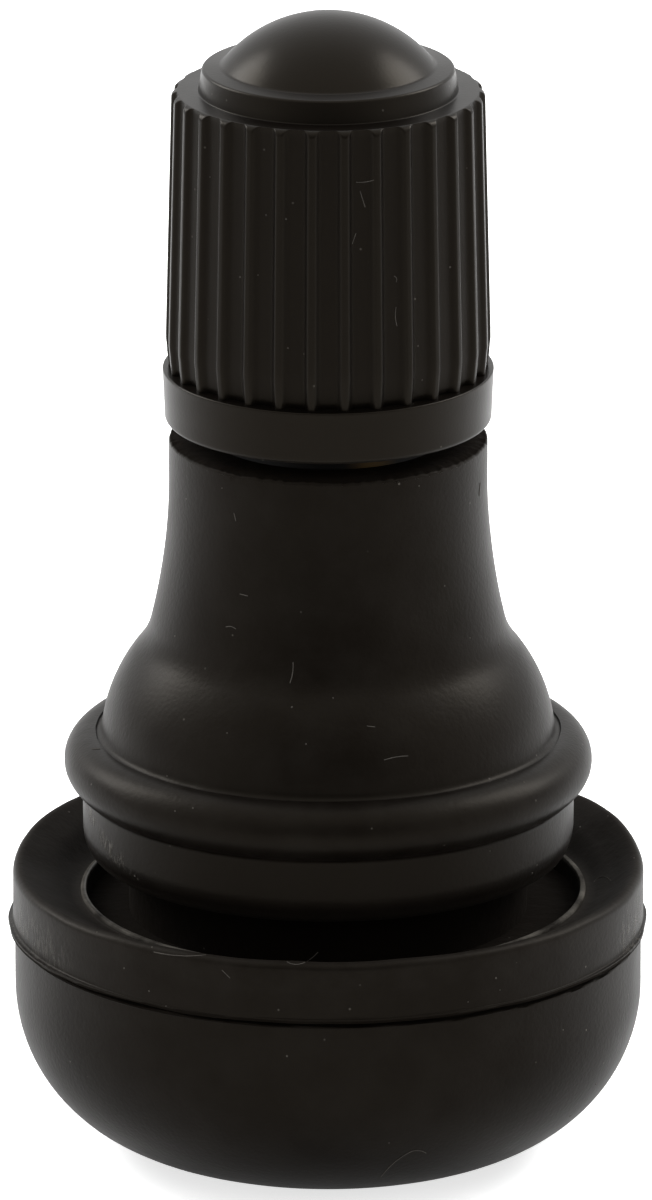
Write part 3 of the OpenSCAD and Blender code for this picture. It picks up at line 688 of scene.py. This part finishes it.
class VALVE_OT_rubber(bpy.types.Operator):
    """Moulds the rubber body: base with flash, rim groove, bead, bell and neck"""

    bl_idname = "tyre_valve.rubber"
    bl_label = "Rubber moulding"

    def execute(self, context):
        s, stem = context.scene.valve_rubber, context.scene.valve_stem
        lip_z, ridge_z, waist_z, bead_low_z, bead_z = rubber_heights(s)
        outside = base_outline(s) + groove_outline(s) + bell_outline(s)
        outline = outside + bond_outline(s, stem)
        lip_r, cup_r = s.lip_d / 2, s.lip_d / 2 - s.cup_step
        top_z = RUBBER_HIGH.z

        def shift(angle):
            """How far the ridge lies out of its circle, most on the right."""
            return s.ridge_shift * (0.5 + 0.5 * math.cos(angle))

        def press(row, radius, height, angle):
            """Flash, edges and creases come out of the mould uneven."""
            if row >= len(outside) or height < 0.05 * MM:
                return radius, height
            radius += 0.012 * MM * ripple(radius, height, angle, 2.2 * MM)
            if radius > lip_r and abs(height - s.parting_h) < s.flash_t:
                left, right = smooth(-4 * math.cos(angle) - 2.6), smooth(4 * math.cos(angle) - 2.6)
                torn = 0.85 - 0.85 * left - 0.5 * right - 0.3 * ripple(lip_r, 0, angle, 1.6 * MM)
                radius -= min(max(torn, 0), 1) * (radius - lip_r)
                height += 0.05 * MM * ripple(lip_r, 0, angle, 2.5 * MM)
            under = s.parting_h - s.flash_t / 2 - height
            if abs(radius - cup_r) < 0.03 * MM and -ON_AXIS < under < s.undercut_h:
                tall = (0.6 + 0.25 * math.cos(angle)) * (1 + 0.5 * ripple(lip_r, 0, angle, 1.1 * MM))
                tall = s.undercut_h * min(tall, 0.9)
                radius -= s.undercut_depth * smooth(3 - 3 * under / tall)
            if s.parting_h < height < lip_z and radius > s.waist_d / 2 - s.ridge_t:
                radius += shift(angle) * smooth((lip_r - s.lip_round - radius) / (1.2 * MM))
            if height > s.parting_h + s.lip_h / 2 and radius > s.waist_d / 2 + s.ridge_t + s.ridge_shift:
                back = max(math.sin(angle), 0)
                warp = (0.28 * MM * smooth(2.2 * back) + 0.05 * MM * back) * (1 + 0.15 * math.cos(angle))
                height += warp * smooth((radius - s.waist_d / 2 - s.ridge_t - s.ridge_shift) / (0.6 * MM))
                height += 0.03 * MM * ripple(radius, height, angle, 1.3 * MM)
            if height > top_z - 2 * s.neck_round:
                ragged = 0.5 + 0.5 * ripple(s.neck_d, 0, angle, 0.32 * MM)
                rim = smooth((radius - s.neck_d / 2 + 0.3 * MM) / (0.2 * MM))
                edge = smooth((height - top_z + 2 * s.neck_round) / s.neck_round)
                height -= 0.13 * MM * ragged * rim * edge
            crease = 1 - min(abs(height - bead_z - s.bead_round) / (0.25 * MM), 1)
            radius += 0.025 * MM * crease * ripple(radius, height, angle, 0.8 * MM)
            return radius, height

        def dust(radius, height, angle):
            """Dust on upward faces, least on the rubbed waist, a painted highlight on the ridge, painted
            shade in the groove.
            """
            rubbed, ridge_highlight, dusty = 0.35, 32.0, 1.6
            if waist_z < height < bead_low_z:
                return rubbed
            # Painted shade: the groove's inside gets no grey, so it stays dark as if in shade
            if ridge_z - s.groove_drop - ON_AXIS < height < waist_z and radius < s.waist_d / 2 - s.ridge_t:
                return 0.0
            # Painted highlight: the ridge's crest gets a heavy share of grey, a light line where light
            # catches it
            off = abs(radius - shift(angle) - s.waist_d / 2)
            if off < s.ridge_t and abs(height - ridge_z) < 0.5 * s.ridge_h:
                return ridge_highlight
            if ridge_z - s.ridge_h < height < lip_z + 0.1 * MM and radius > s.waist_d / 2:
                return dusty
            return 1.0

        def scuff_and_highlight(radius, height, angle):
            """The lip's wall was scuffed in handling, most near the flash, and the waist has a painted
            highlight streak.
            """
            left_at, left_w = math.radians(-164), math.radians(15)
            right_at, right_w = math.radians(-15), math.radians(7)
            wall = smooth((radius - lip_r + 0.5 * MM) / (0.3 * MM))
            wall *= smooth((height - s.parting_h) / (0.1 * MM))
            left = 0.7 * smooth(1.6 - abs(angle - left_at) / left_w)
            right = 1.5 * smooth(1.6 - abs(angle - right_at) / right_w)
            wall *= max(left, right) * smooth(1.3 - 1.4 * (height - s.parting_h) / s.lip_h)
            # The painted highlight on the waist starts high at the left and falls as it runs towards the
            # front
            highlight_at, highlight_h, highlight_fall, highlight_t = math.radians(-166), 1.66 * MM, 2.24 * MM, 0.22 * MM
            ahead = angle - highlight_at
            painted_highlight = smooth(1.5 - abs(height - waist_z - highlight_h + highlight_fall * ahead) / highlight_t)
            painted_highlight *= smooth(1.4 - abs(ahead - math.radians(8)) / math.radians(14))
            return max(wall, 1.6 * painted_highlight if abs(radius - s.waist_d / 2) < 0.2 * MM else 0)

        def matt(radius, height, angle):
            """The groove, undercut and neck's torn top were never rubbed smooth; grime dulls the dish."""
            if 0 < s.parting_h - height < s.undercut_h:
                return 1.0
            if height > top_z - 3 * s.neck_round:
                return smooth(1.2 * (s.neck_d / 2 - radius) / s.neck_round)
            inside = radius - shift(angle) < s.waist_d / 2 - 0.4 * s.ridge_t
            if height > ridge_z - s.groove_drop - 0.1 * MM and (inside or height > lip_z + s.lip_h / 4):
                return smooth((waist_z + 0.4 * MM - height) / (0.4 * MM))
            if radius > s.waist_d / 2 and height > s.parting_h + s.lip_h / 2:
                return 0.55 * smooth((lip_r - radius) / s.lip_round)
            return 0.0

        piece = lathe("rubber_moulding", outline, even_angles(RUBBER_STEPS), press)
        paint(piece, "dust", dust)
        paint(piece, "scuff_and_highlight", scuff_and_highlight)
        paint(piece, "matt", matt)
        dress(piece, rubber_material(context.scene.valve_finishes), "valve", "rubber_body")
        return {"FINISHED"}


def grip_angles(s):
    """Angles round the cap, closest together on the crests between the flutes."""
    pitch = TURN / s.flute_count
    side = [pitch / 2 * t for t in (0.08, 0.16, 0.24, 0.32, 0.4, 0.5, 0.62, 0.8)]
    turn = [-a for a in reversed(side)] + [0.0] + side + [pitch / 2]
    return [FRONT + pitch * (k + 0.5) + a for k in range(s.flute_count) for a in turn]


def flute_share(s, angle):
    """0 on the crest between two flutes and 1 on the floor of a flute."""
    pitch = TURN / s.flute_count
    off = abs((angle - FRONT) % pitch - pitch / 2) * s.grip_top_d / 2
    return smooth((off - s.crest_w / 2) / s.flank_w)


def cap_heights(s):
    """Heights of the top of the cap's band, the end of the grip's neck and the shoulder."""
    band_z = CAP_LOW.z + s.band_h
    return band_z, band_z + s.grip_neck_h, SEAL_HIGH.z + s.shoulder_h


def dome_sphere(s):
    """Radius of the cap's dome and height of its centre."""
    radius = ((s.dome_d / 2) ** 2 + s.dome_rise ** 2) / (2 * s.dome_rise)
    return radius, CAP_HIGH.z - radius


def cap_outline(s):
    """Outside of the cap from its mouth to the top of its dome."""
    band_z, neck_z, shoulder_z = cap_heights(s)
    band_r, low_r = CAP_HIGH.x, CAP_HIGH.x - s.band_draft
    grip_r, grip_low_r = s.grip_top_d / 2, s.grip_low_d / 2
    neck_r = grip_low_r - s.grip_neck
    crown_r, crown_z = s.crown_d / 2, shoulder_z + s.crown_h
    step_r = crown_r + s.crown_draft
    dome_r, dome_z = s.dome_d / 2, CAP_HIGH.z - s.dome_rise
    sphere_r, sphere_z = dome_sphere(s)
    start = math.degrees(math.acos(dome_r / sphere_r)) + math.degrees(s.dome_fillet / sphere_r)
    dome = arc((0.0, sphere_z), sphere_r, start, 90, 22)
    tip = s.band_top_round
    soft = 0.08 * MM
    slope = (dome_z - crown_z) / (crown_r - s.crown_round - dome_r)
    return (
        arc((low_r - s.band_round, CAP_LOW.z + s.band_round), s.band_round, -90, 0, 6)
        + run((low_r, CAP_LOW.z + 1.5 * s.band_round), (band_r - 0.004 * MM, band_z - 2 * tip), 4)
        + bend((band_r, band_z - tip), (band_r, band_z), (band_r - tip, band_z), 4)
        + [(neck_r + soft, band_z), (neck_r, band_z + 0.002 * MM)]
        + run((neck_r, band_z + 1.5 * soft), (neck_r + 0.03 * MM, band_z + 0.5 * s.grip_neck_h), 5)
        + run((neck_r + 0.045 * MM, band_z + 0.75 * s.grip_neck_h), (grip_low_r, neck_z), 1)
        + run((grip_low_r - 0.004 * MM, neck_z + 0.3 * MM), (grip_r, shoulder_z - s.shoulder_round), 8)
        + arc((grip_r - s.shoulder_round, shoulder_z - s.shoulder_round), s.shoulder_round, 0, 90, 14)[1:]
        + bend((step_r + soft / 2, shoulder_z), (step_r, shoulder_z), (step_r, shoulder_z + soft / 2), 4)
        + run((step_r - 0.2 * s.crown_draft, shoulder_z + 2 * soft), (crown_r, crown_z - s.crown_round), 3)
        + arc((crown_r - s.crown_round, crown_z - s.crown_round), s.crown_round, 0, 90, 7)[1:]
        + bend((dome_r + s.dome_fillet, dome_z - slope * s.dome_fillet), (dome_r, dome_z), dome[0], 7)
        + dome[1:-1] + [(0.0, CAP_HIGH.z)])


def cap_inside(s, pitch):
    """Inside of the cap from the hollow of its dome down the thread to its mouth."""
    bore_r, mouth_r = s.bore_d / 2, s.mouth_d / 2
    ceiling_z = SEAL_HIGH.z + 0.02 * MM
    sphere_r, sphere_z = dome_sphere(s)
    hollow_r = sphere_r - s.dome_wall
    rim = math.degrees(math.asin((ceiling_z - sphere_z) / hollow_r))
    hollow = arc((0.0, sphere_z), hollow_r, 90, rim, 8)
    top_z, low_z = STEM_HIGH.z, STEM_HIGH.z - s.thread_turns * pitch
    return (
        [(0.0, hollow[0][1])] + hollow[1:]
        + run((bore_r - 0.1 * MM, ceiling_z), (bore_r, ceiling_z - 0.1 * MM), 1)
        + run((bore_r, top_z), (bore_r, low_z), s.thread_turns * 10)
        + run((mouth_r, low_z - 0.1 * MM), (mouth_r, CAP_LOW.z + 0.1 * MM), 3)
        + [(mouth_r + 0.1 * MM, CAP_LOW.z)])


class VALVE_OT_cap(bpy.types.Operator):
    """Moulds the dust cap: fluted grip, plain band, stepped crown, dome and threaded bore"""

    bl_idname = "tyre_valve.cap"
    bl_label = "Dust cap"

    def execute(self, context):
        s, stem = context.scene.valve_cap, context.scene.valve_stem
        outside = cap_outline(s)
        inside = cap_inside(s, stem.thread_pitch)
        band_z, neck_z, shoulder_z = cap_heights(s)
        grip_r, grip_low_r = s.grip_top_d / 2, s.grip_low_d / 2
        draft = (grip_low_r - grip_r) / (shoulder_z - s.shoulder_round - neck_z)
        thread_top, thread_low = STEM_HIGH.z, STEM_HIGH.z - s.thread_turns * stem.thread_pitch

        def mould(row, radius, height, angle):
            """Flutes are cut into the grip's outside, and the thread stands in from the bore."""
            if row < len(outside):
                if not band_z < height < shoulder_z:
                    return radius, height
                pocket = s.pocket_depth * smooth(1 - (height - band_z) / s.pocket_h)
                cut = (s.flute_depth + pocket) * flute_share(s, angle)
                if height < shoulder_z - s.shoulder_round:
                    return radius - cut, height
                line = grip_low_r - (height - neck_z) * draft
                return min(radius, line - cut), height
            if thread_low < height < thread_top:
                fade = between(height, thread_low, thread_top, 0.3 * MM)
                share = thread_share(height, angle, stem.thread_pitch)
                return radius - stem.thread_depth * share * fade, height
            return radius, height

        def matt(radius, height, angle):
            """The flutes are matt from just under the shoulder to the band, and so is the mouth's edge."""
            if height < CAP_LOW.z + s.band_round / 2:
                return 0.5
            if radius < s.bore_d / 2 + 0.1 * MM or not band_z < height < shoulder_z:
                return 0.0
            return 0.4 * flute_share(s, angle) * smooth((shoulder_z - height) / s.shoulder_round)

        piece = lathe("cap_moulding", outside + inside, grip_angles(s), mould)
        paint(piece, "matt", matt)
        dress(piece, cap_material(context.scene.valve_finishes), "cap", "dust_cap")
        return {"FINISHED"}


class VALVE_OT_stem(bpy.types.Operator):
    """Turns the brass stem, with its cap thread, mouth, core bore and foot"""

    bl_idname = "tyre_valve.stem"
    bl_label = "Turned stem"

    def execute(self, context):
        s, finishes = context.scene.valve_stem, context.scene.valve_finishes
        foot_r, shank_r, thread_r = STEM_HIGH.x, s.shank_d / 2, s.thread_d / 2
        low_z, mouth_z = STEM_LOW.z, STEM_HIGH.z
        foot_top = low_z + s.foot_t
        shank_z = foot_top + s.foot_cone
        thread_z = RUBBER_HIGH.z + s.thread_start
        chamfer_z = mouth_z - s.mouth_chamfer
        bore_r, chamber_r, mouth_r = s.core_bore_d / 2, s.chamber_d / 2, s.mouth_d / 2
        rows = round(12 * (chamfer_z - thread_z) / s.thread_pitch)
        lower = ([(chamber_r, low_z), (foot_r, low_z), (foot_r, foot_top), (shank_r, shank_z)]
                 + key_outline(s, shank_z, 0.0) + [(shank_r, thread_z - s.thread_depth / 2)])
        nick = 0.1 * s.mouth_chamfer
        thread = (run((thread_r, thread_z), (thread_r, chamfer_z), rows)
                  + run((thread_r - nick, chamfer_z + nick), (thread_r - s.mouth_chamfer, mouth_z), 8))
        inside = [(mouth_r, mouth_z), (mouth_r, mouth_z - s.mouth_depth), (bore_r, mouth_z - s.mouth_depth),
                  (bore_r, GASKET_HIGH.z), (chamber_r, GASKET_LOW.z)]

        def cut(row, radius, height, angle):
            """The die cuts the thread from its crest, and runs out at its lower end."""
            if not len(lower) <= row < len(lower) + len(thread):
                return radius, height
            start = smooth((height - thread_z) / (0.5 * s.thread_pitch))
            share = max(thread_share(height, angle, s.thread_pitch), 1 - start)
            return min(radius, thread_r - s.thread_depth * share), height

        def film_and_painted_light(radius, height, angle):
            """Painted shade: a dark skin on the brass above the neck, where the gap under the cap is in
            shade; thinnest a little right of the front.
            """
            edge = RUBBER_HIGH.z + 0.6 * MM + 0.1 * MM * ripple(radius, 0, angle, 1.5 * MM)
            thin = smooth(1 - abs(angle - FRONT - math.radians(22)) / math.radians(16))
            return smooth((edge - height) / (0.25 * MM)) * (1 - 0.15 * thin)

        piece = lathe("turned_stem", lower + thread + inside, even_angles(STEM_STEPS), cut)
        paint(piece, "film_and_painted_light", film_and_painted_light)
        brass = turned_metal("Brass, turned", finishes.stem, 0.3, 0.08, film_and_painted_light=finishes.rubber)
        dress(piece, brass, "valve", "brass_stem")
        return {"FINISHED"}


def plug_ear(s, side, low_z, high_z):
    """Rings of one driving ear of the plug, on the given side of the air way."""
    outer_r, inner_r, half = s.ear_d / 2, s.plug_bore_d / 2, s.ear_t / 2
    wide, narrow = math.asin(half / outer_r), math.asin(half / inner_r)
    rim = [(outer_r, wide * t) for t in (-1, -0.5, 0, 0.5, 1)]
    rim += [(inner_r, narrow * t) for t in (1, 0.5, 0, -0.5, -1)]
    rings = []
    for level, inset in ((low_z, 0.0), (high_z - 0.12 * MM, 0.0), (high_z, 0.1 * MM)):
        ring = []
        for radius, angle in rim:
            radius -= inset if radius == outer_r else -inset
            angle *= 1 - inset / half
            ring.append((side * radius * math.cos(angle), side * radius * math.sin(angle), level))
        rings.append(ring)
    return rings


def plug_piece(s):
    """The core's threaded plug, with an air way, a swivel socket below and two ears above."""
    plug_r, bore_r, socket_r = s.plug_d / 2, s.plug_bore_d / 2, s.socket_d / 2
    low_z, top_z = PLUG_LOW.z, PLUG_LOW.z + s.plug_h
    socket_z = low_z + s.socket_depth
    outline = (run((plug_r, low_z), (plug_r, top_z), round(12 * s.plug_h / s.plug_pitch))
               + [(bore_r, top_z), (bore_r, socket_z), (socket_r, socket_z), (socket_r, low_z)])

    def cut(row, radius, height, angle):
        """The thread runs over the whole plug and tapers off at both ends."""
        if radius < plug_r:
            return radius, height
        ends = between(height, low_z, top_z, 0.3 * MM)
        share = max(thread_share(height, angle, s.plug_pitch), 1 - ends)
        return radius - s.plug_thread * share, height

    piece = lathe("threaded_plug", outline, even_angles(PLUG_STEPS), cut)
    points = [tuple(v.co) for v in piece.data.vertices]
    faces = [tuple(p.vertices) for p in piece.data.polygons]
    bpy.data.objects.remove(piece)
    for side in (1, -1):
        add_rings(points, faces, plug_ear(s, side, top_z - 0.1 * MM, PLUG_HIGH.z))
    return new_piece("threaded_plug", points, faces)


def spring_piece(s):
    """The core's coil spring: round wire with a closed turn at each end."""
    sides, steps = 12, 44
    last = steps * s.coil_turns
    wire_r, coil_r = s.wire_d / 2, s.coil_d / 2
    low_z, high_z = SPRING_LOW.z + wire_r, SPRING_HIGH.z - wire_r
    closed = 2 * s.wire_d / (high_z - low_z)
    rings = []
    for i in range(last + 1):
        turns = s.coil_turns * i / last
        ends = min(turns, s.coil_turns - turns)
        rise = closed * min(ends, 1) / 2 + (0.5 - closed / 2) * max(ends - 1, 0) / (s.coil_turns / 2 - 1)
        share = rise if turns <= s.coil_turns / 2 else 1 - rise
        centre_z = low_z + (high_z - low_z) * share
        section = [past((coil_r, centre_z), wire_r, -TURN * k / sides) for k in range(sides)]
        rings.append([(r * math.cos(TURN * turns), r * math.sin(TURN * turns), z) for r, z in section])
    points, faces = [], []
    add_rings(points, faces, rings)
    return new_piece("coil_spring", points, faces)


class VALVE_OT_core(bpy.types.Operator):
    """Makes the core's plug and spring, and finishes the core's other pieces and the cap's seal"""

    bl_idname = "tyre_valve.core"
    bl_label = "Valve core"

    def execute(self, context):
        s, finishes = context.scene.valve_core, context.scene.valve_finishes
        bright = turned_metal("Brass, turned bright", finishes.core, 0.2, 0.05)
        steel = turned_metal("Spring steel, drawn", finishes.spring, 0.25, 0.04)
        red = seal_material("Nitrile rubber, moulded, red", finishes.gasket, 0.45, 0.3)
        black = seal_material("Nitrile rubber, moulded, black", finishes.seal, 0.5, 0.3)
        dress(plug_piece(s), bright, "valve", "core_plug")
        spring = spring_piece(s)
        dress(spring, steel, "valve", "core_spring")
        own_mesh(spring)
        kept = {"core_barrel": bright, "spring_cup": bright, "plunger_pin": bright, "plunger_cup": bright,
                "barrel_gasket": red, "plunger_seal": black, "cap_seal": black}
        for node, material in kept.items():
            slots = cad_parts[node].data.materials
            slots.clear()
            slots.append(material)
        return {"FINISHED"}


def camera_frame(s):
    """Where the camera stands, and its directions to the right, up and forward."""
    back = Vector((0, -math.cos(s.elevation), math.sin(s.elevation)))
    right = Vector((1, 0, 0))
    return Vector((s.aim_x, 0, s.aim_z)) + back * s.distance, right, back.cross(right), -back


def surface_at(tree, s, pixel):
    """The point of a surface that the camera sees at a pixel, and the surface's normal there."""
    place, right, up, forward = camera_frame(s)
    across, rise = pixel[0] - IMAGE_W / 2, IMAGE_H / 2 - pixel[1]
    ray = forward * (s.focal / SENSOR * IMAGE_H) + right * across + up * rise
    hit, normal = tree.ray_cast(place, ray.normalized())[:2]
    if hit is None:
        raise RuntimeError("no surface at pixel %s" % (pixel,))
    return hit, normal


def ring_points(centre, side, up, reaches):
    """Points round a centre, one for each reach, in the plane of two directions."""
    angles = [TURN * k / len(reaches) for k in range(len(reaches))]
    return [centre + side * (r * math.cos(a)) + up * (r * math.sin(a)) for r, a in zip(reaches, angles)]


def grain_rings(hit, normal, size, dice):
    """Rings of one grain of grit: an uneven flat lump, sunk a little into the surface."""
    side = normal.orthogonal().normalized()
    across = normal.cross(side)
    rings = []
    for level, share in ((-0.5, 0.6), (0.0, 1.0), (0.35, 0.7)):
        reaches = [size * share * dice.uniform(0.7, 1.1) for k in range(SPECK_STEPS)]
        rings.append(ring_points(hit + normal * (level * size), side, across, reaches))
    return rings


def fibre_rings(path, width):
    """Rings of one fibre: a thin tube along a path of surface points and normals."""
    rings = []
    for i, (place, normal) in enumerate(path):
        along = (path[min(i + 1, len(path) - 1)][0] - path[max(i - 1, 0)][0]).normalized()
        side = normal.cross(along).normalized()
        up = along.cross(side)
        centre = place + normal * (0.25 * width)
        rings.append(ring_points(centre, side, up, [0.5 * width] * SPECK_STEPS))
    return rings


# Pixels of the photograph where grit lies, by the surface that carries it
NECK_GRIT = ((419, 486), (222, 488), (470, 638), (175, 636), (499, 645))
BELL_GRIT = ((333, 698), (292, 707), (227, 733), (306, 744))
BEAD_GRIT = ((193, 808), (175, 811), (167, 776), (490, 782), (506, 780), (524, 782), (170, 846), (490, 851))
DISH_GRIT = ((69, 812), (580, 827), (608, 816), (634, 858), (594, 882), (97, 932), (135, 876), (532, 873))
BASE_GRIT = ((124, 968), (360, 985), (468, 1002), (563, 1030), (586, 1030), (287, 1056), (331, 1181),
             (389, 1143), (596, 1084), (570, 1116), (149, 991), (152, 947), (496, 978), (500, 990),
             (166, 1006))
CAP_GRIT = ((183, 202), (210, 177), (258, 275), (240, 277), (288, 348), (304, 354), (450, 267), (415, 299),
            (418, 346), (422, 380), (413, 404), (263, 460), (286, 219), (266, 215))
# Pixels along each fibre on the rubber: two for a straight one, three for a curved one
RUBBER_FIBRES = {
    "short hair on the neck": ((234, 513), (236, 521)),
    "pale dash on the neck": ((480, 483), (479, 496)),
    "dash on the flare": ((240, 594), (248, 596)),
    "curl on the flare": ((226, 627), (231, 625), (236, 629)),
    "hair on the bell": ((293, 662), (294, 672), (290, 683)),
    "dash over the bead": ((367, 726), (375, 727)),
    "dash on the bead": ((92, 749), (100, 749)),
    "hair on the bead": ((384, 760), (396, 756), (408, 756)),
    "lint left of the groove": ((154, 952), (180, 958), (206, 955)),
    "hook before the groove": ((287, 962), (302, 970), (318, 952)),
    "stub before the groove": ((222, 970), (230, 978)),
    "curl on the dish": ((594, 882), (603, 872), (611, 881)),
    "lower hair on the cup": ((380, 1178), (393, 1160), (412, 1151)),
    "upper hair on the cup": ((412, 1151), (420, 1149), (426, 1153)),
}
# Pixels along each pale scratch on the cap
CAP_FIBRES = {
    "level scratch": ((356, 182), (364, 183), (374, 180)),
    "leaning scratch": ((360, 191), (365, 207)),
    "nick on the crest": ((352, 244), (356, 233)),
    "hook": ((394, 276), (398, 278), (396, 282)),
    "upright scratch": ((396, 307), (394, 316), (397, 326)),
}


class VALVE_OT_lint(bpy.types.Operator):
    """Lays lint, grit and pale scratches on the rubber and the cap"""

    bl_idname = "tyre_valve.lint"
    bl_label = "Lint and grit"

    grain: length("Grain size", 0.034, "Radius of a grain of grit")
    fibre: length("Fibre width", 0.022, "Width of a fibre")

    def execute(self, context):
        s, finishes = context.scene.valve_stage, context.scene.valve_finishes
        material = lint_material(finishes)
        rubber_grit = NECK_GRIT + BELL_GRIT + BEAD_GRIT + DISH_GRIT + BASE_GRIT
        for carrier, body, grit, fibres in (("rubber_moulding", "valve", rubber_grit, RUBBER_FIBRES),
                                            ("cap_moulding", "cap", CAP_GRIT, CAP_FIBRES)):
            mesh = bpy.data.objects[carrier].data
            tree = BVHTree.FromPolygons([v.co for v in mesh.vertices], [p.vertices for p in mesh.polygons])
            dice = random.Random(len(grit))
            points, faces = [], []
            for pixel in grit:
                size = self.grain * dice.uniform(0.6, 1.2)
                add_rings(points, faces, grain_rings(*surface_at(tree, s, pixel), size, dice))
            for pixels in fibres.values():
                line = bend(*pixels, 12) if len(pixels) == 3 else run(*pixels, 6)
                path = [surface_at(tree, s, pixel) for pixel in line]
                add_rings(points, faces, fibre_rings(path, self.fibre))
            dress(new_piece("lint_on_" + body, points, faces), material, body)
        return {"FINISHED"}


def add_softbox(name, place, aim, size, power, glossy):
    """A soft rectangular lamp that faces its aim; one that isn't glossy leaves no mirror image."""
    lamp = bpy.data.lights.new(name, "AREA")
    lamp.shape = "RECTANGLE"
    lamp.size, lamp.size_y = size
    lamp.energy = power
    item = bpy.data.objects.new(name, lamp)
    item.location = place
    item.rotation_mode = "QUATERNION"
    item.rotation_quaternion = (Vector(aim) - Vector(place)).to_track_quat("-Z", "Y")
    item.visible_glossy = glossy
    bpy.context.scene.collection.objects.link(item)


def seen_rays(tree):
    """1 for rays from the lens, mirror rays and rays through clear things, and 0 for matt light."""
    path = add_node(tree, "LightPath")
    seen = add_node(tree, "Math", {"operation": "ADD"},
                    links={0: path.outputs["Is Camera Ray"], 1: path.outputs["Is Glossy Ray"]})
    seen = add_node(tree, "Math", {"operation": "ADD", "use_clamp": True},
                    links={0: seen.outputs[0], 1: path.outputs["Is Transmission Ray"]})
    return path.outputs["Is Camera Ray"], seen.outputs[0]


def studio_room(s):
    """A white room, brightest overhead and dimmest behind the camera.

    Matt faces get an even share of its light, and to the lens it is plain white.
    """
    world = bpy.data.worlds.new("studio room")
    world.use_nodes = True
    tree = world.node_tree
    lens, seen = seen_rays(tree)
    direction = add_node(tree, "TexCoord").outputs["Generated"]
    direction = add_node(tree, "SeparateXYZ", links={"Vector": direction})
    wall = add_node(tree, "MapRange", links={"Value": direction.outputs["Y"]},
                    values={"From Min": -1.0, "From Max": -0.5, "To Min": s.dark_side, "To Max": s.walls})
    top = add_node(tree, "MapRange", links={"Value": direction.outputs["Z"]},
                   values={"From Min": 0.3, "From Max": 0.9, "To Min": 1.0, "To Max": s.ceiling})
    wall = add_node(tree, "Math", {"operation": "MULTIPLY"},
                    links={0: wall.outputs["Result"], 1: top.outputs["Result"]})
    wall = add_node(tree, "MapRange", values={"To Max": 1.0},
                    links={"Value": lens, "To Min": wall.outputs[0]})
    light = add_node(tree, "MapRange", values={"To Min": s.room},
                     links={"Value": seen, "To Max": wall.outputs["Result"]})
    wire(tree, tree.nodes["Background"], {"Color": WHITE}, {"Strength": light.outputs["Result"]})
    return world


def floor_material(finishes, s):
    """White laminate table: a matt face that glows to the lens, so it stays white, and less in gloss."""
    material, tree, shader = new_material("Laminate, matt white")
    lens, seen = seen_rays(tree)
    mirror = add_node(tree, "Math", {"operation": "MULTIPLY"}, values={1: s.floor_mirror}, links={0: seen})
    strength = add_node(tree, "MapRange", values={"To Max": s.floor_glow},
                        links={"Value": lens, "To Min": mirror.outputs[0]})
    wire(tree, shader, {"Base Color": (*finishes.floor, 1), "Roughness": 0.9, "Specular IOR Level": 0.0,
                        "Emission Color": WHITE}, {"Emission Strength": strength.outputs[0]})
    return material


class VALVE_OT_stage(bpy.types.Operator):
    """Sets the table, the lamps, the white room and the camera"""

    bl_idname = "tyre_valve.stage"
    bl_label = "Studio stage"

    def execute(self, context):
        scene, s = context.scene, context.scene.valve_stage
        rim = [(*past((0, 0), s.floor_r, a), -0.02 * MM) for a in even_angles(TABLE_STEPS)]
        table = new_piece("table", rim, [tuple(range(len(rim)))])
        table.data.materials.append(floor_material(scene.valve_finishes, s))
        dome, table_back = (0, 0, CAP_HIGH.z), (0, 0.06, 0)
        # Each lamp's name, place, aim, width and height in metres, power, and whether gloss mirrors it
        lamps = (
            ("softbox left", (-0.165, 0.085, 0.136), dome, (0.1, 0.12), s.softbox_power, True),
            ("softbox right", (0.157, 0.06, 0.153), dome, (0.1, 0.12), s.softbox_power, True),
            ("table lamp left", (-0.2, 0.25, 0.15), table_back, (0.1, 0.1), s.table_power, False),
            ("table lamp right", (0.2, 0.25, 0.15), table_back, (0.1, 0.1), s.table_power, False),
            ("fill", (0, -0.3, 0.3), dome, (0.4, 0.3), s.fill_power, False),
        )
        for lamp in lamps:
            add_softbox(*lamp)
        scene.world = studio_room(s)
        scene.view_settings.view_transform = "Standard"
        lens = bpy.data.cameras.new("camera")
        lens.lens, lens.sensor_width = s.focal, SENSOR
        camera = bpy.data.objects.new("camera", lens)
        place, *_, forward = camera_frame(s)
        camera.location = place
        camera.rotation_mode = "QUATERNION"
        camera.rotation_quaternion = forward.to_track_quat("-Z", "Y")
        scene.collection.objects.link(camera)
        scene.camera = camera
        return {"FINISHED"}


GROUPS = {
    "valve_rubber": RubberSizes,
    "valve_stem": StemSizes,
    "valve_cap": CapSizes,
    "valve_core": CoreSizes,
    "valve_finishes": Finishes,
    "valve_stage": StageSettings,
}
STEPS = (VALVE_OT_rubber, VALVE_OT_stem, VALVE_OT_core, VALVE_OT_cap, VALVE_OT_lint, VALVE_OT_stage)


class VALVE_PT_panel(bpy.types.Panel):
    """Lists the valve's pieces with their sizes"""

    bl_idname = "VALVE_PT_panel"
    bl_label = "Tyre Valve"
    bl_space_type = "VIEW_3D"
    bl_region_type = "UI"
    bl_category = "Tyre Valve"

    def draw(self, context):
        for step in STEPS:
            self.layout.operator(step.bl_idname)
        for group, kind in GROUPS.items():
            column = self.layout.box().column()
            for name in kind.__annotations__:
                column.prop(getattr(context.scene, group), name)


CLASSES = (*GROUPS.values(), *STEPS, VALVE_PT_panel)


def register():
    for item in CLASSES:
        bpy.utils.register_class(item)
    for name, kind in GROUPS.items():
        setattr(bpy.types.Scene, name, PointerProperty(type=kind))


def unregister():
    for name in GROUPS:
        delattr(bpy.types.Scene, name)
    for item in reversed(CLASSES):
        bpy.utils.unregister_class(item)


def main():
    register()
    bpy.ops.tyre_valve.rubber()
    bpy.ops.tyre_valve.stem()
    bpy.ops.tyre_valve.core()
    bpy.ops.tyre_valve.cap()
    bpy.ops.tyre_valve.lint()
    bpy.ops.tyre_valve.stage()


if __name__ == "__main__":
    main()
